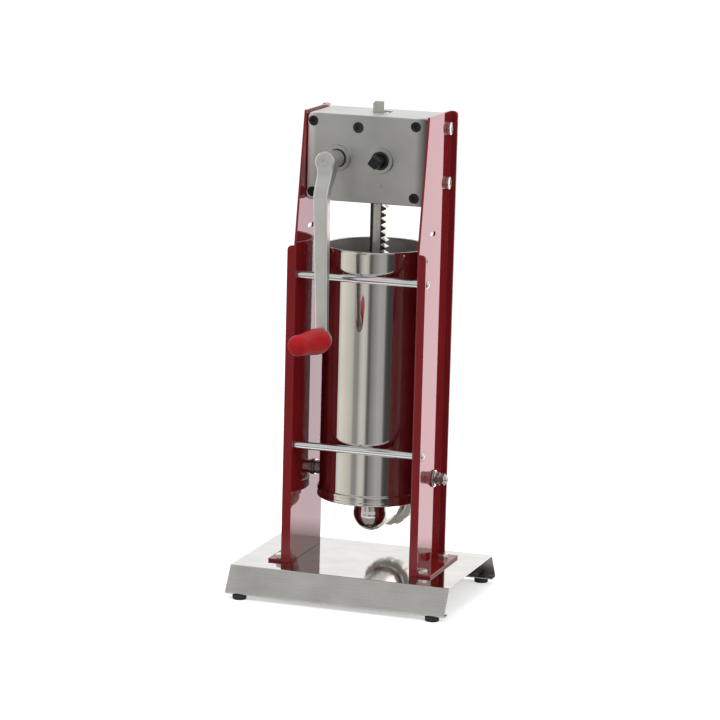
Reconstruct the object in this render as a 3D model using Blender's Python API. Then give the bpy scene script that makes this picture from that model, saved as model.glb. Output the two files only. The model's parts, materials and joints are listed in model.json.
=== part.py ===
"""Vertical two-speed sausage stuffer with a five litre cylinder, at rest with its piston down.

X runs to the right, the crank is on the -Y side, the outlet on the +Y side and Z is up.
Every length is in metres.
"""
import math

import bmesh
import bpy
import numpy as np
from mathutils import Matrix, Vector

# General fits
FIT = 0.0003
HOLE_CLEARANCE = 0.0003
OVERRUN = 0.004
ROUND_SIDES = 24
DOME_STEPS = ROUND_SIDES // 4
SMALL_SIDES = 12
BIG_SIDES = 40
SMOOTH_ANGLE = math.radians(40)

# Bent base plate
BASE_WIDTH = 0.300
BASE_DEPTH = 0.190
BASE_SHEET = 0.0015
APRON_DROP = 0.035
APRON_FLARE = 0.0212
LIP_DEPTH = 0.017
BASE_BEND_RADIUS = 0.0022
BEND_STEPS = 3

# Rubber feet
FOOT_RADIUS = 0.0092
FOOT_HEIGHT = 0.0065
FOOT_CHAMFER = 0.0012
FOOT_STEM_RADIUS = 0.0035
FOOT_BARB_RADIUS = 0.0046
FOOT_BARB_HEIGHT = 0.0025
FOOT_SIDE_INSET = 0.018
FOOT_INSET = 0.0085

# Side frames of folded sheet
FRAME_GAP = 0.164
FRAME_SHEET = 0.003
FRAME_FRONT_Y = -0.0575
FRAME_REAR_Y = 0.0635
FRAME_TOP_FRONT_Y = -0.0285
FRAME_HEIGHT = 0.5945
FLANGE_WIDTH = 0.012
FRONT_FLANGE_HEIGHT = 0.4215
FLANGE_CORNER_RADIUS = 0.006
FRAME_FOOT_WIDTH = 0.030
FRAME_FOOT_NOTCH = 0.001
FRAME_SLOT_Y = -0.003
FRAME_SLOT_Z = 0.4413
FRAME_SLOT_LENGTH = 0.022
FRAME_SLOT_HEIGHT = 0.006
SPARE_HOLE_Y = -0.025
SPARE_HOLE_Z = 0.4085
SPARE_HOLE_RADIUS = 0.0022

# Bolts that hold the frames to the base
FRAME_BOLT_X = 0.0975
FRAME_BOLT_FRONT_Y = -0.0475
FRAME_BOLT_REAR_Y = 0.041
BOLT_SHANK_RADIUS = 0.0038
BOLT_HEAD_RADIUS = 0.0075
BOLT_HEAD_HEIGHT = 0.0053
NUT_HEIGHT = 0.0065
BOLT_END = 0.003
HEX_CHAMFER = 0.0009

# Tie rods and their domed nuts
ROD_RADIUS = 0.005
ROD_END_RADIUS = 0.0038
ROD_Y = -0.0472
UPPER_ROD_Z = 0.3825
LOWER_ROD_Z = 0.1573
ROD_THREAD = 0.0058
CAP_NUT_RADIUS = 0.0074
CAP_NUT_HEX_HEIGHT = 0.0042
CAP_NUT_DOME_RADIUS = 0.0061
CAP_NUT_HEIGHT = 0.0092

# Cylinder
CYLINDER_RADIUS = 0.070
CYLINDER_WALL = 0.0015
CYLINDER_Y = 0.0295
CYLINDER_BOTTOM = 0.0815
CYLINDER_HEIGHT = 0.3355
CYLINDER_FLOOR = 0.0025
RIM_BEAD = 0.0008
RIM_BEAD_HEIGHT = 0.003
BAND_RADIUS = 0.0722
BAND_HEIGHT = 0.013
BAND_STEP = 0.0015
BAND_GROOVE = 0.0008
FLOOR_HOLE_RADIUS = 0.0200

# Pivots of the cylinder
PIVOT_Z = 0.1122
PIVOT_BOSS_RADIUS = 0.009
PIVOT_BOSS_GAP = 0.0036
PIVOT_RADIUS = 0.0048
PIVOT_SOCKET_DEPTH = 0.0068
INNER_WASHER_RADIUS = 0.0105
OUTER_WASHER_RADIUS = 0.0115
OUTER_WASHER_THICKNESS = 0.0022
LOCK_NUT_FLANGE_RADIUS = 0.0100
LOCK_NUT_FLANGE_HEIGHT = 0.0015
LOCK_NUT_RADIUS = 0.0088
LOCK_NUT_HEIGHT = 0.0070
PIVOT_CAP_HEX_HEIGHT = 0.0060
PIVOT_CAP_RADIUS = 0.0084
PIVOT_CAP_DOME_RADIUS = 0.0068
PIVOT_CAP_HEIGHT = 0.0112
PIVOT_END = 0.0075

# Outlet elbow and its ring nut
OUTLET_RADIUS = 0.0235
OUTLET_WALL = 0.0025
OUTLET_NECK_RADIUS = 0.0226
OUTLET_DROP = 0.0240
OUTLET_LENGTH = 0.0730
OUTLET_COLLAR_RADIUS = 0.0265
OUTLET_THREAD_LENGTH = 0.0115
RING_NUT_RADIUS = 0.0335
RING_NUT_LENGTH = 0.0165
RING_NUT_MOUTH_RADIUS = 0.0215
RING_NUT_CHAMFER = 0.0015
RING_NUT_NOTCH_RADIUS = 0.0045
RING_NUT_NOTCH_DEPTH = 0.0014
RING_NUT_NOTCHES = 12
NOTCH_SIDES = 8

# Gearbox casting and cover
GEARBOX_FRONT_Y = -0.0255
GEARBOX_REAR_Y = 0.0615
GEARBOX_BOTTOM = 0.4785
GEARBOX_HEIGHT = 0.113
GEARBOX_WALL = 0.005
COVER_THICKNESS = 0.010
CASTING_RADIUS = 0.004
CASTING_STEPS = 3
BOSS_RADIUS = 0.0166
BOSS_HEIGHT = 0.005
BOSS_CHAMFER = 0.0008
REAR_BOSS_RADIUS = 0.014
REAR_BOSS_LENGTH = 0.010
SCREW_BOSS_RADIUS = 0.0068
SCREW_BOSS_LENGTH = 0.026
COVER_SCREW_LEFT_X = -0.074
COVER_SCREW_RIGHT_X = 0.065
COVER_SCREW_TOP_INSET = 0.0108
COVER_SCREW_BOTTOM_INSET = 0.0102
COUNTERBORE_RADIUS = 0.0064
COUNTERBORE_DEPTH = 0.0062
COVER_SCREW_HEAD_RADIUS = 0.0060
COVER_SCREW_HEAD_HEIGHT = 0.0052
COVER_SCREW_CHAMFER = 0.0006
COVER_SCREW_RADIUS = 0.0028
COVER_SCREW_LENGTH = 0.018
HEX_KEY_RADIUS = 0.0029
HEX_KEY_DEPTH = 0.003
PLUG_X = -0.0125
PLUG_INSET = 0.016
PLUG_RADIUS = 0.0070
PLUG_HEAD = 0.0008
PLUG_LENGTH = 0.009
PLUG_SOCKET_RADIUS = 0.0040

# Bolts between the frames and the gearbox
GEARBOX_BOLT_Y = 0.0508
GEARBOX_BOLT_TOP_INSET = 0.019
GEARBOX_BOLT_BOTTOM_INSET = 0.023
GEARBOX_BOLT_HEAD_RADIUS = 0.0088
GEARBOX_BOLT_HEAD_HEIGHT = 0.0045
GEARBOX_BOLT_CHAMFER = 0.0010
GEARBOX_BOLT_RADIUS = 0.0038
GEARBOX_BOLT_LENGTH = 0.0135
GEARBOX_BOLT_BOSS_RADIUS = 0.0088
GEARBOX_BOLT_BOSS_LENGTH = 0.016

# Rack
RACK_MODULE = 0.00275
RACK_BACK_X = -0.009
RACK_ROOT_X = 0.0065
RACK_THICKNESS = 0.016
RACK_ABOVE_PISTON = 0.5085
RACK_SMOOTH_LENGTH = 0.060
RACK_TOP_CHAMFER = 0.003
RACK_STUD_RADIUS = 0.0058
RACK_SLOT_CLEARANCE = 0.0012
RACK_GUIDE_LENGTH = 0.011
RACK_GUIDE_HEIGHT = 0.060
RACK_PRESSURE_ANGLE = math.radians(25)
ADDENDUM_SHARE = 1.0
DEDENDUM_SHARE = 1.25
RACK_BACKLASH = 0.0003

# Gear train
RACK_PINION_TEETH = 7
RACK_PINION_LENGTH = 0.019
GEAR_MODULE = 0.002
GEAR_TEETH = 46
SLOW_PINION_TEETH = 12
GEAR_PRESSURE_ANGLE = math.radians(20)
GEAR_ADDENDUM_SHARE = 0.8
GEAR_BACKLASH = 0.0004
GEAR_WIDTH = 0.012
GEAR_FRONT_Y = -0.011
GEAR_HUB_RADIUS = 0.015
GEAR_HUB_LENGTH = 0.014
GEAR_WEB_INNER_RADIUS = 0.019
GEAR_WEB_OUTER_RADIUS = 0.0385
GEAR_WEB_RECESS = 0.003
SHAFT_Z = 0.535
SHAFT_RADIUS = 0.0085
SHAFT_REAR_RADIUS = 0.0058
SQUARE_SIDE = 0.013
SQUARE_LENGTH = 0.0255
SQUARE_CHAMFER = 0.001
SQUARE_TURN = math.radians(11)
BUSHING_RADIUS = 0.0118
BUSHING_INNER_END = 0.0015
BUSHING_PROUD = 0.0008

# Crank
CRANK_STANDOFF = 0.049
CRANK_TILT = math.radians(3.55)
HUB_RADIUS = 0.0136
HUB_LENGTH = 0.0235
HUB_SLEEVE_RADIUS = 0.0108
HUB_SLEEVE_LENGTH = 0.023
HUB_CHAMFER = 0.0012
HUB_DIMPLE_RADIUS = 0.0028
HUB_DIMPLE_DEPTH = 0.0012
SOCKET_CLEARANCE = 0.00025
SOCKET_END_GAP = 0.002
ARM_LENGTH = 0.2235
ARM_WIDTH = 0.0190
ARM_FOOT_WIDTH = 0.0155
ARM_NECK_WIDTH = 0.0202
ARM_CHAMFER = 0.0026
ARM_NECK_START = 0.008
ARM_NECK_END = 0.047
ARM_OFFSET = 0.0227
ARM_TOP_DEPTH = 0.016
ARM_END_DEPTH = 0.011
ARM_LEAN = math.radians(5)
ARM_EYE_RADIUS = 0.0130
NECK_STEPS = 6
END_STEPS = 7

# Grip and its spindle
GRIP_LENGTH = 0.091
GRIP_END_GAP = 0.0012
GRIP_RADII_SHARES = ((0.0, 0.80), (0.035, 0.94), (0.11, 1.0), (0.30, 0.965), (0.50, 0.88),
                     (0.66, 0.82), (0.78, 0.80), (0.89, 0.81), (0.955, 0.73), (0.99, 0.47))
GRIP_RADIUS = 0.0168
GRIP_BORE_RADIUS = 0.0046
GRIP_BORE_DEPTH = 0.078
SPINDLE_RADIUS = 0.0040
SPINDLE_LENGTH = 0.076
SPINDLE_HEAD_RADIUS = 0.0068
SPINDLE_HEAD_HEIGHT = 0.0022

# Piston
PISTON_RADIUS = 0.0672
PISTON_HEIGHT = 0.0220
PISTON_EDGE = 0.0012
PISTON_FLOOR_GAP = 0.0008
PISTON_RIM_HEIGHT = 0.014
PISTON_DISH_RADIUS = 0.058
PISTON_DISH_DEPTH = 0.010
SEAL_GROOVE_DEPTH = 0.0040
SEAL_GROOVE_HEIGHT = 0.0066
SEAL_PROUD = 0.0008
PISTON_NUT_RADIUS = 0.0100
PISTON_NUT_HEIGHT = 0.0075
VALVE_X = -0.036
VALVE_HEAD_RADIUS = 0.0065
VALVE_HEAD_HEIGHT = 0.0030
VALVE_STEM_RADIUS = 0.0036
VALVE_KNOB_RADIUS = 0.0050
VALVE_KNOB_HEIGHT = 0.0040
VALVE_GAP = 0.0003

# Heights and places that follow from the sizes above
BASE_TOP = FOOT_HEIGHT + APRON_DROP
FRAME_INNER_X = FRAME_GAP / 2
FRAME_OUTER_X = FRAME_INNER_X + FRAME_SHEET
GEARBOX_HALF = FRAME_INNER_X - FIT
COVER_BACK_Y = GEARBOX_FRONT_Y + COVER_THICKNESS
BOSS_FACE_Y = GEARBOX_FRONT_Y - BOSS_HEIGHT
RACK_PITCH_X = RACK_ROOT_X + DEDENDUM_SHARE * RACK_MODULE
RACK_PINION_RADIUS = RACK_PINION_TEETH * RACK_MODULE / 2
FAST_SHAFT_X = RACK_PITCH_X + RACK_PINION_RADIUS
SHAFT_SPACING = (GEAR_TEETH + SLOW_PINION_TEETH) * GEAR_MODULE / 2
SLOW_SHAFT_X = FAST_SHAFT_X - SHAFT_SPACING
GEARBOX_BORE_END_Y = GEARBOX_REAR_Y - GEARBOX_WALL / 2
SHAFT_AXIS_Z = BASE_TOP + SHAFT_Z
GRIP_AXIS_Y = -(CRANK_STANDOFF + ARM_OFFSET + (ARM_LENGTH - ARM_NECK_END) * math.tan(ARM_LEAN))
PISTON_BOTTOM = BASE_TOP + CYLINDER_BOTTOM + CYLINDER_FLOOR + PISTON_FLOOR_GAP
OUTLET_Z = BASE_TOP + CYLINDER_BOTTOM - OUTLET_DROP
RING_NUT_END_Y = CYLINDER_Y + OUTLET_LENGTH + RING_NUT_LENGTH + FIT
GRIP_TIP_Y = BOSS_FACE_Y + (GRIP_AXIS_Y - (GRIP_LENGTH + GRIP_END_GAP) * math.cos(ARM_LEAN))
CENTRE_Y = (GRIP_TIP_Y + RING_NUT_END_Y) / 2

HEXAGON = 6
SQUARE = 4
TURNS = {
    "+Z": ((1, 0, 0), (0, 1, 0), (0, 0, 1)),
    "-Z": ((1, 0, 0), (0, -1, 0), (0, 0, -1)),
    "+Y": ((1, 0, 0), (0, 0, 1), (0, -1, 0)),
    "-Y": ((1, 0, 0), (0, 0, -1), (0, 1, 0)),
    "+X": ((0, 0, 1), (0, 1, 0), (-1, 0, 0)),
    "-X": ((0, 0, -1), (0, 1, 0), (1, 0, 0)),
}


def clear_scene():
    for item in list(bpy.data.objects):
        bpy.data.objects.remove(item, do_unlink=True)


def finish(name, colour, roughness, metallic):
    """A Principled material with the piece's colour, roughness and metallic value."""
    material = bpy.data.materials.new(name)
    material.use_nodes = True
    shader = material.node_tree.nodes["Principled BSDF"]
    shader.inputs["Base Color"].default_value = (*colour, 1.0)
    shader.inputs["Roughness"].default_value = roughness
    shader.inputs["Metallic"].default_value = metallic
    material.diffuse_color = (*colour, 1.0)
    return material


LOOKS = {
    "stainless": ((0.62, 0.61, 0.59), 0.28, 1.0),
    "polished": ((0.78, 0.77, 0.75), 0.08, 1.0),
    "chrome": ((0.82, 0.82, 0.83), 0.06, 1.0),
    "zinc": ((0.66, 0.66, 0.66), 0.30, 1.0),
    "red_paint": ((0.32, 0.012, 0.018), 0.16, 0.0),
    "casting": ((0.50, 0.50, 0.48), 0.42, 1.0),
    "crank_casting": ((0.56, 0.56, 0.56), 0.34, 1.0),
    "steel": ((0.48, 0.48, 0.50), 0.35, 1.0),
    "black_steel": ((0.015, 0.015, 0.017), 0.40, 0.6),
    "black_plastic": ((0.012, 0.012, 0.013), 0.45, 0.0),
    "red_plastic": ((0.55, 0.02, 0.02), 0.25, 0.0),
    "rubber": ((0.012, 0.012, 0.012), 0.75, 0.0),
    "silicone": ((0.62, 0.60, 0.55), 0.55, 0.0),
}
MATERIALS = {}


def empty(name, place, parent=None, turn=(0.0, 0.0, 0.0)):
    """An axis that moving pieces hang from."""
    marker = bpy.data.objects.new(name, None)
    bpy.context.scene.collection.objects.link(marker)
    marker.parent = parent
    marker.location = place
    marker.rotation_euler = turn
    return marker


def piece(name, shape, look, parent, place=(0.0, 0.0, 0.0), axis="+Z"):
    """Turns a bmesh into a named object with its own material, its Z laid along the axis."""
    shape.transform(Matrix(TURNS[axis]).to_4x4())
    bmesh.ops.recalc_face_normals(shape, faces=shape.faces)
    bmesh.ops.triangulate(shape, faces=shape.faces)
    mesh = bpy.data.meshes.new(name)
    shape.to_mesh(mesh)
    shape.free()
    mesh.shade_smooth()
    mesh.set_sharp_from_angle(angle=SMOOTH_ANGLE)
    item = bpy.data.objects.new(name, mesh)
    bpy.context.scene.collection.objects.link(item)
    if look:
        if look not in MATERIALS:
            MATERIALS[look] = finish(look, *LOOKS[look])
        mesh.materials.append(MATERIALS[look])
    item.parent = parent
    item.location = place
    return item


def helper(shape, parent, place=(0.0, 0.0, 0.0), axis="+Z"):
    """A shape that only cuts or adds to another and isn't built itself."""
    item = piece("helper", shape, None, parent, place, axis)
    item.hide_render = True
    item.display_type = "WIRE"
    return item


def combine(item, operation, others):
    """Applies one Boolean with a whole group of helpers, which keeps their meetings exact."""
    group = bpy.data.collections.new("helpers")
    for other in others:
        group.objects.link(other)
    modifier = item.modifiers.new(operation.title(), "BOOLEAN")
    modifier.operation = operation
    modifier.solver = "EXACT"
    modifier.operand_type = "COLLECTION"
    modifier.collection = group


def cut(item, *others):
    combine(item, "DIFFERENCE", others)


def fuse(item, *others):
    combine(item, "UNION", others)


def facet(sides, turn):
    """How far a polygon's edge lies from its centre, as a share of its corner radius."""
    step = 2 * math.pi / sides
    return math.cos(step / 2) / math.cos(turn % step - step / 2)


def turned(profile, sides=ROUND_SIDES, ring=False):
    """Turns (radius, height) pairs round Z.

    A third value makes that level a polygon, and a fourth cuts its corners off at a radius.
    A ring's profile runs all round its section. Otherwise it starts and ends on the axis.
    """
    shape = bmesh.new()
    levels = []
    for radius, height, *polygon in profile:
        if not radius:
            levels.append([shape.verts.new((0.0, 0.0, height))])
            continue
        level = []
        for step in range(sides):
            angle = 2 * math.pi * step / sides
            reach = radius * (facet(polygon[0], angle) if polygon else 1.0)
            reach = min([reach, *polygon[1:]])
            point = (reach * math.cos(angle), reach * math.sin(angle), height)
            level.append(shape.verts.new(point))
        levels.append(level)
    pairs = list(zip(levels, levels[1:]))
    if ring:
        pairs.append((levels[-1], levels[0]))
    for low, high in pairs:
        for step in range(sides):
            after = (step + 1) % sides
            if len(low) == 1:
                shape.faces.new((low[0], high[step], high[after]))
            elif len(high) == 1:
                shape.faces.new((low[step], low[after], high[0]))
            else:
                shape.faces.new((low[step], low[after], high[after], high[step]))
    return shape


def capped(*profile):
    """Closes a profile on the axis at both ends."""
    return [(0.0, profile[0][1]), *profile, (0.0, profile[-1][1])]


def rod(radius, low, high, sides=ROUND_SIDES):
    return turned(capped((radius, low), (radius, high)), sides)


def chamfered_rod(radius, low, high, chamfer, sides=ROUND_SIDES):
    return turned(capped((radius - chamfer, low), (radius, low + chamfer),
                         (radius, high - chamfer), (radius - chamfer, high)), sides)


def box(low, high):
    shape = bmesh.new()
    bmesh.ops.create_cube(shape, size=1.0)
    for vert in shape.verts:
        vert.co = [a + (b - a) * (c + 1 / 2) for a, b, c in zip(low, high, vert.co)]
    return shape


def merged(*shapes):
    """Puts several closed shapes in one, for a Boolean that takes overlapping bodies as one."""
    shape = shapes[0]
    for other in shapes[1:]:
        made = {vert: shape.verts.new(vert.co) for vert in other.verts}
        for face in other.faces:
            shape.faces.new([made[vert] for vert in face.verts])
        other.free()
    return shape


def prism(outline, low, high, plane="XY"):
    """Extrudes an outline in the named plane along the third axis, from low to high."""
    order = {"XY": (0, 1, 2), "YZ": (2, 0, 1), "XZ": (0, 2, 1)}[plane]
    shape = bmesh.new()
    levels = []
    for reach in (low, high):
        rows = [(first, second, reach) for first, second in outline]
        levels.append([shape.verts.new([row[k] for k in order]) for row in rows])
    shape.faces.new(levels[0])
    shape.faces.new(levels[1])
    for k in range(len(outline)):
        after = (k + 1) % len(outline)
        shape.faces.new((levels[0][k], levels[0][after], levels[1][after], levels[1][k]))
    return shape


def arc(centre, radius, start, end, steps):
    """Points along an arc, angles in radians."""
    turns = [start + (end - start) * k / steps for k in range(steps + 1)]
    return [(centre[0] + radius * math.cos(t), centre[1] + radius * math.sin(t)) for t in turns]


def rounded_corner(before, corner, after, radius, steps=BEND_STEPS):
    """Replaces the corner of an outline by an arc of about the given radius."""
    corner = Vector(corner)
    first = (Vector(before) - corner).normalized()
    second = (Vector(after) - corner).normalized()
    half = first.angle(second) / 2
    reach = radius / math.tan(half)
    centre = corner + (first + second).normalized() * radius / math.sin(half)
    start = corner + first * reach - centre
    end = corner + second * reach - centre
    sweep = start.angle_signed(end)
    return [tuple(centre + Matrix.Rotation(-sweep * k / steps, 2) @ start) for k in range(steps + 1)]


def sheet_outline(path, thickness, radius):
    """Both sides of a bent sheet whose outer side follows the path, bends rounded."""
    outline = []
    inner = []
    points = [Vector(p) for p in path]
    for k, point in enumerate(points):
        ahead = points[min(k + 1, len(points) - 1)] - points[min(k, len(points) - 2)]
        behind = points[max(k, 1)] - points[max(k - 1, 0)]
        normal_a = Vector((behind.y, -behind.x)).normalized()
        normal_b = Vector((ahead.y, -ahead.x)).normalized()
        middle = (normal_a + normal_b).normalized()
        inner.append(point + middle * thickness / middle.dot(normal_a))
    for side, bend in ((points, radius), (inner[::-1], radius - thickness)):
        outline.append(tuple(side[0]))
        for before, corner, after in zip(side, side[1:], side[2:]):
            outline.extend(rounded_corner(before, corner, after, bend))
        outline.append(tuple(side[-1]))
    return outline


def tooth_side(radius, teeth, module, pressure, backlash):
    """Half the angle that a tooth covers at this radius."""
    pitch_radius = teeth * module / 2
    base_radius = pitch_radius * math.cos(pressure)
    half = math.pi / (2 * teeth) - backlash / (2 * pitch_radius)
    reach = math.acos(min(1.0, base_radius / max(radius, base_radius)))
    return half + math.tan(pressure) - pressure - (math.tan(reach) - reach)


def gear_outline(teeth, module, pressure, addendum_share, backlash, turn, flank_points=2):
    """An involute gear's outline, with the middle of one tooth at the given turn."""
    pitch_radius = teeth * module / 2
    base_radius = pitch_radius * math.cos(pressure)
    root_radius = pitch_radius - DEDENDUM_SHARE * module
    tip_radius = pitch_radius + addendum_share * module
    start = max(base_radius, root_radius)
    radii = [start + (tip_radius - start) * k / (flank_points - 1) for k in range(flank_points)]
    if base_radius > root_radius:
        radii = [root_radius] + radii
    outline = []
    for tooth in range(teeth):
        middle = turn + 2 * math.pi * tooth / teeth
        sides = [(r, tooth_side(r, teeth, module, pressure, backlash)) for r in radii]
        for radius, side in [(r, -s) for r, s in sides] + sides[::-1]:
            angle = middle + side
            outline.append((radius * math.cos(angle), radius * math.sin(angle)))
    return outline


def rack_surface(heights, shift):
    """How far the rack's toothed side stands from its pitch line at these heights."""
    pitch = math.pi * RACK_MODULE
    slope = math.tan(RACK_PRESSURE_ANGLE)
    offset = np.abs((heights - shift + pitch / 2) % pitch - pitch / 2)
    rise = (pitch / 4 + RACK_BACKLASH - offset) / slope
    return np.clip(rise, -DEDENDUM_SHARE * RACK_MODULE, ADDENDUM_SHARE * RACK_MODULE)


def rack_pinion_outline(points_per_tooth=14):
    """The pinion shape that the rack's teeth leave free as they roll past it."""
    tip = RACK_PINION_RADIUS + ADDENDUM_SHARE * RACK_MODULE
    root = RACK_PINION_RADIUS - DEDENDUM_SHARE * RACK_MODULE
    step = 2 * math.pi / (RACK_PINION_TEETH * points_per_tooth)
    rolls = np.linspace(-2 * math.pi / 3, 2 * math.pi / 3, 321)[:, None]
    radii = np.linspace(root, tip, 120)[None, :]
    reaches = []
    for point in range(points_per_tooth):
        seen = step * point + rolls
        reach = radii * np.cos(seen)
        surface = rack_surface(radii * np.sin(seen), RACK_PINION_RADIUS * rolls)
        blocked = reach > RACK_PINION_RADIUS - surface - RACK_BACKLASH
        free = np.where(blocked.any(axis=1), radii[0, blocked.argmax(axis=1)], tip)
        reaches.append(float(free.min()))
    turned_reaches = enumerate(reaches * RACK_PINION_TEETH)
    return [(-r * math.cos(step * k), r * math.sin(step * k)) for k, r in turned_reaches]


def hole(radius, parent, place, axis="+Z", low=-OVERRUN, high=OVERRUN, sides=SMALL_SIDES):
    """A helper that cuts a clearance hole for a round piece of this radius."""
    return helper(rod(radius + HOLE_CLEARANCE, low, high, sides), parent, place, axis)


def build_base(root):
    half = BASE_DEPTH / 2
    outer = half + APRON_FLARE
    path = [(-outer + LIP_DEPTH, FOOT_HEIGHT), (-outer, FOOT_HEIGHT), (-half, BASE_TOP),
            (half, BASE_TOP), (outer, FOOT_HEIGHT), (outer - LIP_DEPTH, FOOT_HEIGHT)]
    outline = sheet_outline(path, BASE_SHEET, BASE_BEND_RADIUS)
    plate = piece("base_plate", prism(outline, -BASE_WIDTH / 2, BASE_WIDTH / 2, "YZ"),
                  "stainless", root)
    holes = [(FOOT_STEM_RADIUS, (x, y, FOOT_HEIGHT)) for x, y in foot_places()]
    holes += [(BOLT_SHANK_RADIUS, (x, y, BASE_TOP)) for x, y in frame_bolt_places()]
    cut(plate, *[hole(radius, root, place) for radius, place in holes])


def foot_places():
    reach = BASE_DEPTH / 2 + APRON_FLARE - FOOT_INSET
    x = BASE_WIDTH / 2 - FOOT_SIDE_INSET
    return [(side * x, end * reach) for end in (-1, 1) for side in (-1, 1)]


def build_feet(root):
    names = ("foot_front_left", "foot_front_right", "foot_rear_left", "foot_rear_right")
    seat = FOOT_HEIGHT - FIT
    barb = FOOT_HEIGHT + BASE_SHEET + FIT
    profile = capped((FOOT_RADIUS - FOOT_CHAMFER, 0.0), (FOOT_RADIUS, FOOT_CHAMFER),
                     (FOOT_RADIUS, seat), (FOOT_STEM_RADIUS, seat), (FOOT_STEM_RADIUS, barb),
                     (FOOT_BARB_RADIUS, barb), (FOOT_STEM_RADIUS, barb + FOOT_BARB_HEIGHT))
    for name, (x, y) in zip(names, foot_places()):
        piece(name, turned(profile, SMALL_SIDES), "rubber", root, (x, y, 0.0))


def frame_bolt_places():
    return [(side * FRAME_BOLT_X, y) for y in (FRAME_BOLT_FRONT_Y, FRAME_BOLT_REAR_Y)
            for side in (-1, 1)]


def gearbox_bolt_heights():
    bottom = BASE_TOP + GEARBOX_BOTTOM
    return (bottom + GEARBOX_BOLT_BOTTOM_INSET, bottom + GEARBOX_HEIGHT - GEARBOX_BOLT_TOP_INSET)


def flange_outline(side, top):
    """A folded edge seen from the front, with its outer top corner rounded."""
    inner = side * FRAME_INNER_X
    outer = side * (FRAME_INNER_X + FLANGE_WIDTH)
    bottom = BASE_TOP + FIT
    corner = rounded_corner((inner, top), (outer, top), (outer, bottom), FLANGE_CORNER_RADIUS)
    return [(inner, bottom), (inner, top), *corner, (outer, bottom)]


def build_frame(root, name, side):
    bottom = BASE_TOP + FIT
    top = BASE_TOP + FRAME_HEIGHT
    shoulder = BASE_TOP + FRONT_FLANGE_HEIGHT
    web = [(FRAME_FRONT_Y, bottom), (FRAME_FRONT_Y, shoulder), (FRAME_TOP_FRONT_Y, top),
           (FRAME_REAR_Y, top), (FRAME_REAR_Y, bottom)]
    ends = sorted((side * FRAME_INNER_X, side * FRAME_OUTER_X))
    frame = piece(name, prism(web, *ends, "YZ"), "red_paint", root)
    front = prism(flange_outline(side, shoulder), FRAME_FRONT_Y, FRAME_FRONT_Y + FRAME_SHEET, "XZ")
    rear = prism(flange_outline(side, top), FRAME_REAR_Y - FRAME_SHEET, FRAME_REAR_Y, "XZ")
    reach = side * (FRAME_INNER_X + FRAME_FOOT_WIDTH)
    low_x, high_x = sorted((side * FRAME_INNER_X, reach))
    foot = box((low_x, FRAME_FRONT_Y + FRAME_FOOT_NOTCH, bottom),
               (high_x, FRAME_REAR_Y - FRAME_FOOT_NOTCH, bottom + FRAME_SHEET))
    fuse(frame, helper(front, root), helper(rear, root), helper(foot, root))
    middle = side * (FRAME_INNER_X + FRAME_OUTER_X) / 2
    holes = [(ROD_Y, BASE_TOP + UPPER_ROD_Z, ROD_END_RADIUS),
             (ROD_Y, BASE_TOP + LOWER_ROD_Z, ROD_END_RADIUS),
             (CYLINDER_Y, BASE_TOP + PIVOT_Z, PIVOT_RADIUS),
             (SPARE_HOLE_Y, BASE_TOP + SPARE_HOLE_Z, SPARE_HOLE_RADIUS)]
    holes += [(GEARBOX_BOLT_Y, z, GEARBOX_BOLT_RADIUS) for z in gearbox_bolt_heights()]
    cutters = [hole(radius, root, (middle, y, z), "+X") for y, z, radius in holes]
    cutters += [hole(BOLT_SHANK_RADIUS, root, (side * FRAME_BOLT_X, y, bottom))
                for y in (FRAME_BOLT_FRONT_Y, FRAME_BOLT_REAR_Y)]
    cutters.append(helper(slot_cutter(), root, (middle, FRAME_SLOT_Y, BASE_TOP + FRAME_SLOT_Z)))
    cut(frame, *cutters)


def slot_cutter():
    """A slot with round ends, along Y, that passes through the sheet along X."""
    radius = FRAME_SLOT_HEIGHT / 2
    reach = FRAME_SLOT_LENGTH / 2 - radius
    outline = arc((reach, 0.0), radius, -math.pi / 2, math.pi / 2, CASTING_STEPS + 1)
    outline += arc((-reach, 0.0), radius, math.pi / 2, 3 * math.pi / 2, CASTING_STEPS + 1)
    return prism(outline, -OVERRUN, OVERRUN, "YZ")


def hex_head(radius, height):
    """Profile of a hexagon head standing on zero, its top edge chamfered."""
    return [(radius, 0.0, HEXAGON), (radius, height - HEX_CHAMFER, HEXAGON),
            (radius * math.cos(math.pi / HEXAGON) - HEX_CHAMFER / 2, height)]


def build_frame_bolts(root):
    names = ("front_left", "front_right", "rear_left", "rear_right")
    seat = BASE_TOP + FIT + FRAME_SHEET + FIT
    nut_top = BASE_TOP - BASE_SHEET - FIT
    shank = seat - nut_top + NUT_HEIGHT + BOLT_END
    bolt = [(0.0, -shank), (BOLT_SHANK_RADIUS, -shank), (BOLT_SHANK_RADIUS, 0.0)]
    bolt += hex_head(BOLT_HEAD_RADIUS, BOLT_HEAD_HEIGHT) + [(0.0, BOLT_HEAD_HEIGHT)]
    bore = BOLT_SHANK_RADIUS + HOLE_CLEARANCE
    nut = [(bore, -NUT_HEIGHT), (BOLT_HEAD_RADIUS, -NUT_HEIGHT, HEXAGON),
           (BOLT_HEAD_RADIUS, 0.0, HEXAGON), (bore, 0.0)]
    for name, (x, y) in zip(names, frame_bolt_places()):
        piece("frame_bolt_" + name, turned(bolt, SMALL_SIDES), "zinc", root, (x, y, seat))
        piece("frame_nut_" + name, turned(nut, SMALL_SIDES, ring=True), "zinc", root,
              (x, y, nut_top))


def cap_nut(radius, hex_height, dome_radius, height, bore, depth):
    """A domed nut standing on zero, with a blind bore from below."""
    top = height - dome_radius * (1 - math.cos(math.pi / 4))
    return [(0.0, depth), (bore, depth), (bore, 0.0), (radius, 0.0, HEXAGON),
            (radius, hex_height, HEXAGON), (dome_radius, hex_height),
            (dome_radius, top - dome_radius * math.sin(math.pi / 4) / 2),
            (dome_radius * math.sin(math.pi / 4), top), (0.0, height)]


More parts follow.
